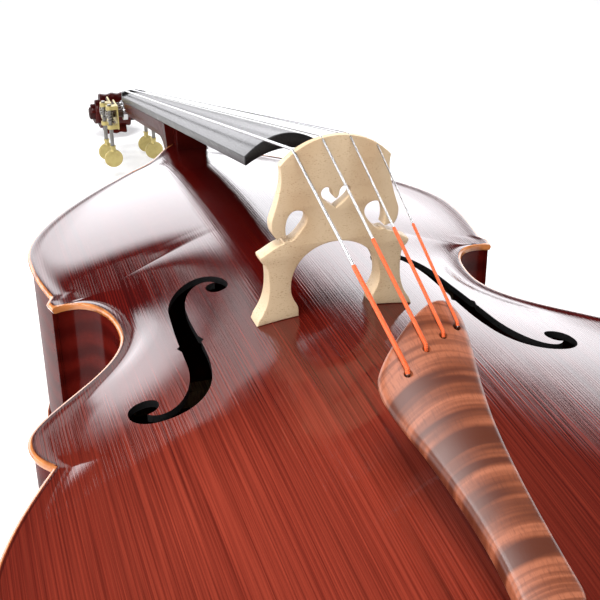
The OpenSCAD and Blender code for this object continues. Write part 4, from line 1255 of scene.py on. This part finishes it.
@dataclass
class Bridge:
    """The tall bridge with its heart, its kidneys and its feet."""

    shell: Shell = field(default_factory=Shell)
    radius: float = 70
    foot_t: float = 22
    top_t: float = 6

    def crown(self, x: float) -> float:
        """Height of the curve that the strings lie on."""
        return 416 - self.radius + math.sqrt(self.radius**2 - x * x)

    def side(self) -> list[Point2]:
        """The treble half of the outline, from the top's middle down and back to the middle."""
        points = [(51.5 * i / 24, self.crown(51.5 * i / 24)) for i in range(24)]
        points += closed([
            ([bz(51.5, 181.4), bz(49, 170), bz(50, 160), bz(60, 131)], 12),
            ([bz(60, 131), bz(61, 122), bz(58, 116), bz(55, 114)], 8),
            ([bz(55, 114), bz(50, 117), bz(47, 113), bz(49, 109)], 8),
            ([bz(49, 109), bz(58, 107), bz(64, 101), bz(71, 98)], 8),
            ([bz(71, 98), bz(72, 92), bz(65, 92), bz(64, 84)], 8),
            ([bz(64, 84), bz(62, 62), bz(64, 48), bz(76, 34)], 14)])
        points += [(x, 212 + self.shell.rise(x, 0) + 0.3) for x in (76, 71, 66, 61, 56, 51, 46, 41, 36)]
        points += closed([
            ([bz(36, 42), bz(36, 48), bz(43, 52), bz(43, 64)], 8),
            ([bz(43, 64), bz(43, 90), bz(22, 105), bz(0, 105)], 20)])
        return points

    def build(self) -> None:
        """Makes the bridge."""
        side = self.side()
        kidney = closed([
            ([bz(37, 139), bz(29, 139), bz(24, 132), bz(29, 124)], 12),
            ([bz(29, 124), bz(34, 117), bz(39, 110.5), bz(43, 110.5)], 10),
            ([bz(43, 110.5), bz(50, 113), bz(49, 139), bz(37, 139)], 16)])
        heart = closed([
            ([bz(0, 137), bz(6, 141), bz(15, 147), bz(14, 153)], 10),
            ([bz(14, 153), bz(12, 160), bz(3, 158), bz(3, 150)], 12),
            ([bz(3, 150), bz(2, 147), bz(1, 146), bz(0, 146)], 4)])
        heart_loop = [*heart, (0, 358), *[(-x, z) for x, z in reversed(heart) if x > 0.01]]
        bm = plate([[*side, *[(-x, z) for x, z in reversed(side) if x > 0.01]], kidney, flip(kidney), heart_loop],
                   self.foot_t, 0.9)
        top_edge = 212 + 205
        for vert in bm.verts:
            x, z, t = vert.co.x / MM, vert.co.y / MM, vert.co.z / MM / self.foot_t
            tail = mix(-11, -9, (z - 212) / 205)
            front = 11 if z < 258 else mix(11, -9 + self.top_t, (z - 258) / (top_edge - 258))
            vert.co = Vector((x, mix(tail, front, t), z)) * MM
        for side_x in (-1, 1):
            slit = loft([[Vector((side_x * x, y, 212 + z)) for x, z in ((43, 111), (44, 114.6), (58, 113.6), (58, 110))]
                         for y in (-20, 20)])
            bm = carved(bm, slit)
        bmesh.ops.recalc_face_normals(bm, faces=bm.faces)
        piece("bridge_plate", bm, FINISHES["bridge_maple"], stands_for=["bridge"],
              sharp=math.radians(30))


TAIL_SLOPE = math.atan(0.385)
TAIL_MID = -4
TAIL_ROUND = 110


def on_tail(x: float, y: float, up: float = 0) -> Vector:
    """A place on the tailpiece's plane from its level place and its height over the plane."""
    return Vector((x, y - up * math.sin(TAIL_SLOPE), 409 + 0.385 * y + up * math.cos(TAIL_SLOPE)))


def crown_drop(x: float) -> float:
    """How far the tailpiece's face curves down at a place across it."""
    return TAIL_ROUND - math.sqrt(TAIL_ROUND**2 - (x - TAIL_MID) ** 2)


@dataclass
class Tailpiece:
    """The long flamed tailpiece with its slanting head and its four string holes."""

    thickness: float = 15
    edge: float = 3.2
    holes: tuple[Point2, ...] = ((-29, -242), (-8, -226), (10, -216.5), (25, -209))

    def outline(self) -> list[Point2]:
        """The outline as seen from straight above."""
        return closed([
            ([(24, -181), (31, -181), (35, -188), (35, -200)], 14),
            ([(35, -200), (33, -222), (22, -250), (17, -286)], 16),
            ([(17, -286), (13, -320), (14, -360), (18, -412)], 16),
            ([(18, -412), (18, -422), (14, -426), (4, -426)], 12),
            ([(4, -426), (-4, -426), (-8, -426), (-12, -426)], 4),
            ([(-12, -426), (-22, -426), (-26, -422), (-26, -412)], 12),
            ([(-26, -412), (-24, -370), (-33, -330), (-40, -300)], 16),
            ([(-40, -300), (-50, -268), (-54, -248), (-48, -236)], 16),
            ([(-48, -236), (-40, -222), (-24, -210), (-8, -197)], 16),
            ([(-8, -197), (4, -189), (14, -181), (24, -181)], 14)])

    def build(self) -> None:
        """Makes the tailpiece."""
        loop = self.outline()
        pairs = list(zip(loop, [*loop[1:], loop[0]]))

        def span(y: float) -> tuple[float, float]:
            cuts = [mix(a[0], b[0], (y - a[1]) / (b[1] - a[1])) for a, b in pairs if (a[1] - y) * (b[1] - y) < 0]
            return (min(cuts), max(cuts))

        def gap(x: float, y: float) -> float:
            best = 1e9
            for (ax, ay), (bx, by) in pairs:
                dx, dy = bx - ax, by - ay
                t = max(0.0, min(1.0, ((x - ax) * dx + (y - ay) * dy) / (dx * dx + dy * dy)))
                best = min(best, math.hypot(x - ax - t * dx, y - ay - t * dy))
            return best

        rows = 120
        across = [0.5 - 0.5 * math.cos(math.pi * i / 22) for i in range(23)]
        places = [-425.98 + (425.98 - 181.02) * smooth(k / rows) for k in range(rows + 1)]
        spans = [span(y) for y in places]

        def place(i: int, k: int) -> Vector:
            y = places[k]
            low, high = spans[k]
            top = i < len(across)
            share = across[i] if top else across[len(across) - 1 - (i - len(across))]
            x = mix(low, high, share)
            near = min(1.0, gap(x, y) / self.edge)
            drop = self.edge * (1 - math.sqrt(max(0.0, 1 - (1 - near) ** 2)))
            return on_tail(x, y, -crown_drop(x) - drop if top else -self.thickness + drop * 0.8)

        bm = wrapped_sheet(2 * len(across), rows, place)
        turn = Matrix.Rotation(TAIL_SLOPE, 3, "X")
        for x, y in self.holes:
            drop = crown_drop(x)
            bore = turned([(0, -24), (2.5, -24), (2.5, -drop - 1.2), (3.9, -drop + 0.6), (3.9, 4), (0, 4)], 32)
            bm = carved(bm, placed(bore, turn, on_tail(x, y)))
        for x in (-13, 5):
            bore = placed(turned([(0, -60), (2.1, -60), (2.1, 0), (0, 0)], 24),
                          Matrix.Rotation(math.pi / 2 + TAIL_SLOPE, 3, "X") @ Matrix.Rotation(math.pi, 3, "X"),
                          on_tail(x, -400, -7.5))
            bm = carved(bm, bore)
        piece("tailpiece_block", bm, FINISHES["flamed_maple"], stands_for=["tailpiece"],
              sharp=math.radians(45))


def tube(way: Sequence[Vector], radii: Sequence[float], sides: int = 16) -> bmesh.types.BMesh:
    """A round cord along a way, with its length so far in the value named along.

    Args:
        way: The points of its middle, in millimetres.
        radii: Its radius at each point.
        sides: Points round it.

    Returns:
        The cord's mesh, in metres.
    """
    rings, lengths = [], [0.0]
    for i, point in enumerate(way):
        if i:
            lengths.append(lengths[-1] + (point - way[i - 1]).length)
        direction = (way[min(i + 1, len(way) - 1)] - way[max(i - 1, 0)]).normalized()
        guess = Vector((0, 1, 0)) if abs(direction.x) > 0.9 else Vector((1, 0, 0))
        side = direction.cross(guess).normalized()
        up = direction.cross(side)
        rings.append([point + radii[i] * (math.cos(math.tau * k / sides) * side
                                          + math.sin(math.tau * k / sides) * up) for k in range(sides)])
    bm = loft(rings)
    layer = bm.verts.layers.float.new("along")
    ends = [Vector(p) * MM for p in way]
    for vert in bm.verts:
        nearest = min(range(len(ends)), key=lambda i: (ends[i] - vert.co).length_squared)
        vert[layer] = lengths[nearest]
    return bm


@dataclass
class Strings:
    """The four strings and the silk over their tail ends."""

    bridge: Bridge = field(default_factory=Bridge)
    neck: Neck = field(default_factory=Neck)
    tailpiece: Tailpiece = field(default_factory=Tailpiece)
    diameters: tuple[float, ...] = (2.7, 2.2, 1.8, 1.4)
    silk: tuple[float, ...] = (0.57, 0.53, 0.51, 0.49)

    def way(self, i: int) -> list[Vector]:
        """A string's way from under the tailpiece to its winding."""
        m, d = MACHINES[i], self.diameters[i]
        hx, hy = self.tailpiece.holes[i]
        bx, nx = 76 * (i - 1.5) / 3, 31 * (i - 1.5) / 3
        tail = on_tail(hx, hy, d / 2 + 0.6 - crown_drop(hx) * 0.5)
        top = Vector((bx, -6, self.bridge.crown(bx)))
        along = (top - tail).normalized()
        nut = Vector((nx, 1065, self.neck.nut_crown(nx) + d / 2 + 0.35))
        rho = 9 + 1.6 * d + d / 2 + 0.4
        q = Vector((nut.y - m.y, nut.z - m.z))
        a = math.atan2(q.y, q.x) - math.acos(rho / q.length)
        end = Vector((-12 + 8 * m.string, m.y + rho * math.cos(a), m.z + rho * math.sin(a)))
        return [on_tail(hx, hy, -20), on_tail(hx, hy, -2.5), tail + 2.5 * along, top - 4 * along,
                top + Vector((0, 4, 0.8 * along.z)), nut, end]

    def build(self) -> None:
        """Makes the strings and their silk."""
        silks = []
        for i, name in enumerate("eadg"):
            way = self.way(i)
            rounded = [way[0]]
            for a, b, c in zip(way, way[1:], way[2:]):
                reach = min(2.5, (b - a).length / 2, (c - b).length / 2)
                start, end = b + (a - b).normalized() * reach, b + (c - b).normalized() * reach
                for t in (0, 0.25, 0.5, 0.75, 1):
                    rounded.append(start.lerp(b, t).lerp(b.lerp(end, t), t))
            rounded.append(way[-1])
            knot = turned([(0, -3), (2.4, -1.9), (3.1, 0), (2.4, 1.9), (0, 3)], 20)
            placed(knot, Matrix.Identity(3), way[0])
            cord = tube(rounded, [self.diameters[i] / 2] * len(rounded))
            piece(f"string_cord_{name}", joined([cord, knot]), FINISHES["string_steel"],
                  stands_for=[f"string_{name}"], sharp=math.radians(60))
            start, end = way[2], way[2].lerp(way[3], 1 - self.silk[i])
            r = self.diameters[i] / 2 + 0.55
            line = [way[1], way[1].lerp(start, 0.5), start, *[start.lerp(end, t / 6) for t in range(1, 6)],
                    end, end + (end - start).normalized() * 1.2]
            silks.append(tube(line, [r] * (len(line) - 1) + [r - 0.5]))
        piece("silk_threads", joined(silks), FINISHES["orange_silk"], stands_for=["silk_wraps"],
              sharp=math.radians(60))


@dataclass
class Keys:
    """The machines' butterfly-less round keys with eased rims and a waisted stem."""

    head: Head = field(default_factory=Head)
    worm_x: float = 41.78
    mesh_y: float = 21.2
    drop: float = 11.5

    def build(self) -> None:
        """Makes the four keys."""
        for m in MACHINES:
            y = m.y - self.mesh_y
            at = (m.side.value * self.worm_x, y, self.head.back(y) - self.drop)
            rim = [(0, -1.5), (9, -1.35), (13, -1.5), (15.4, -2), (16.6, -1.5), (17, -0.5), (17, 0.5), (16.6, 1.5),
                   (15.4, 2), (13, 1.5), (9, 1.35), (0, 1.5)]
            disc = placed(turned(rim, 64), Matrix.Rotation(math.pi / 2, 3, "X"), at)
            stem = placed(turned([(0, 12.4), (4.2, 12.4), (5.5, 14.5), (4.4, 17), (4.2, 21), (5.5, 23.5), (5.2, 25),
                                  (0, 25)], 32), Matrix.Identity(3), at)
            piece(f"key_leaf_{m.name}", joined([disc, stem]), FINISHES["pale_brass"],
                  body=f"worm_assembly_{m.name}", stands_for=[f"key_{m.name}"])


# ---- The studio -----------------------------------------------------------------------------------


@dataclass
class Studio:
    """Pale floor, soft lights and the camera."""

    eye: tuple[float, float, float] = (-0.3072, -0.8537, 0.7083)
    look: tuple[float, float, float] = (0.280, 0.852, -0.442)
    roll: float = -0.006
    lens: float = 65.24

    def floor(self) -> None:
        """A wide pale floor."""
        bm = bmesh.new()
        bmesh.ops.create_grid(bm, x_segments=1, y_segments=1, size=14)
        mesh = bpy.data.meshes.new("floor")
        bm.to_mesh(mesh)
        bm.free()
        material = bpy.data.materials.new("floor_paint")
        material.use_nodes = True
        shader = material.node_tree.nodes["Principled BSDF"]
        shader.inputs["Base Color"].default_value = (0.95, 0.95, 0.95, 1)
        shader.inputs["Emission Color"].default_value = (1, 1, 1, 1)
        shader.inputs["Emission Strength"].default_value = 0.15
        shader.inputs["Roughness"].default_value = 0.9
        mesh.materials.append(material)
        ground = bpy.data.objects.new("floor", mesh)
        bpy.context.scene.collection.objects.link(ground)

    def lamp(self, name: str, at: tuple[float, float, float], to: tuple[float, float, float],
             size: Point2, power: float) -> None:
        """One rectangular soft light."""
        light = bpy.data.lights.new(name, "AREA")
        light.shape = "RECTANGLE"
        light.size, light.size_y = size
        light.energy = power
        lamp = bpy.data.objects.new(name, light)
        lamp.location = at
        lamp.rotation_euler = (Vector(to) - Vector(at)).to_track_quat("-Z", "Y").to_euler()
        bpy.context.scene.collection.objects.link(lamp)

    def build(self) -> None:
        """Sets up the world, the lights, the floor and the camera."""
        scene = bpy.context.scene
        world = bpy.data.worlds.new("room")
        world.use_nodes = True
        tree = world.node_tree
        where = tree.nodes.new("ShaderNodeTexCoord")
        split = tree.nodes.new("ShaderNodeSeparateXYZ")
        sky = tree.nodes.new("ShaderNodeValToRGB")
        sky.color_ramp.interpolation = "EASE"
        sky.color_ramp.elements[0].position, sky.color_ramp.elements[0].color = 0.38, (0.97, 0.965, 1, 1)
        sky.color_ramp.elements[1].position, sky.color_ramp.elements[1].color = 0.46, (0.012, 0.012, 0.012, 1)
        ahead = tree.nodes.new("ShaderNodeMapRange")
        ahead.inputs["From Min"].default_value = -0.3
        ahead.inputs["From Max"].default_value = 0.5
        ahead.inputs["To Min"].default_value = 0.25
        ahead.inputs["To Max"].default_value = 4.6
        tree.links.new(where.outputs["Generated"], split.inputs["Vector"])
        tree.links.new(split.outputs["Z"], sky.inputs["Fac"])
        tree.links.new(split.outputs["Y"], ahead.inputs["Value"])
        tree.links.new(sky.outputs["Color"], tree.nodes["Background"].inputs["Color"])
        tree.links.new(ahead.outputs["Result"], tree.nodes["Background"].inputs["Strength"])
        scene.world = world
        self.floor()
        self.lamp("overhead_softbox", (-0.5, -0.5, 3.2), (0, 0.2, 0.2), (1.6, 1.6), 130)
        self.lamp("side_softbox", (-2.8, -0.9, 1.9), (0, 0.1, 0.2), (1.2, 1.6), 60)
        self.lamp("front_fill", (-1.2, -2.8, 1.7), (0, 0, 0.3), (1.6, 1.6), 45)
        self.lamp("far_strip", (0.15, 2.4, 1.70), (-0.1, 0, 0.25), (0.75, 0.42), 1.6)
        camera = bpy.data.cameras.new("camera")
        camera.lens = self.lens
        camera.sensor_width = 36
        camera.shift_x, camera.shift_y = -0.008, -0.013
        camera.clip_start = 0.02
        holder = bpy.data.objects.new("camera", camera)
        turn = Vector(self.look).to_track_quat("-Z", "Y").to_matrix() @ Matrix.Rotation(self.roll, 3, "Z")
        holder.matrix_world = Matrix.Translation(self.eye) @ turn.to_4x4()
        scene.collection.objects.link(holder)
        scene.camera = holder
        scene.view_settings.view_transform = "Standard"


def finish_nodes() -> None:
    """Gives every CAD node the finish of its slot in the record."""
    for part in frame["record"]["subparts"]:
        for held in frame["nodes"][part["node"]].material_slots:
            held.material = FINISHES[part["material_slot"]]


def main() -> None:
    """Builds the instrument from the body outwards, then the studio."""
    logging.basicConfig(level=logging.INFO, format="%(message)s")
    make_finishes()
    finish_nodes()
    shell = Shell()
    neck = Neck(shell)
    bridge = Bridge(shell)
    tailpiece = Tailpiece()
    head = Head(neck)
    for part in (shell, neck, head, bridge, tailpiece, Strings(bridge, neck, tailpiece), Keys(head), Studio()):
        part.build()


if __name__ == "__main__":
    main()
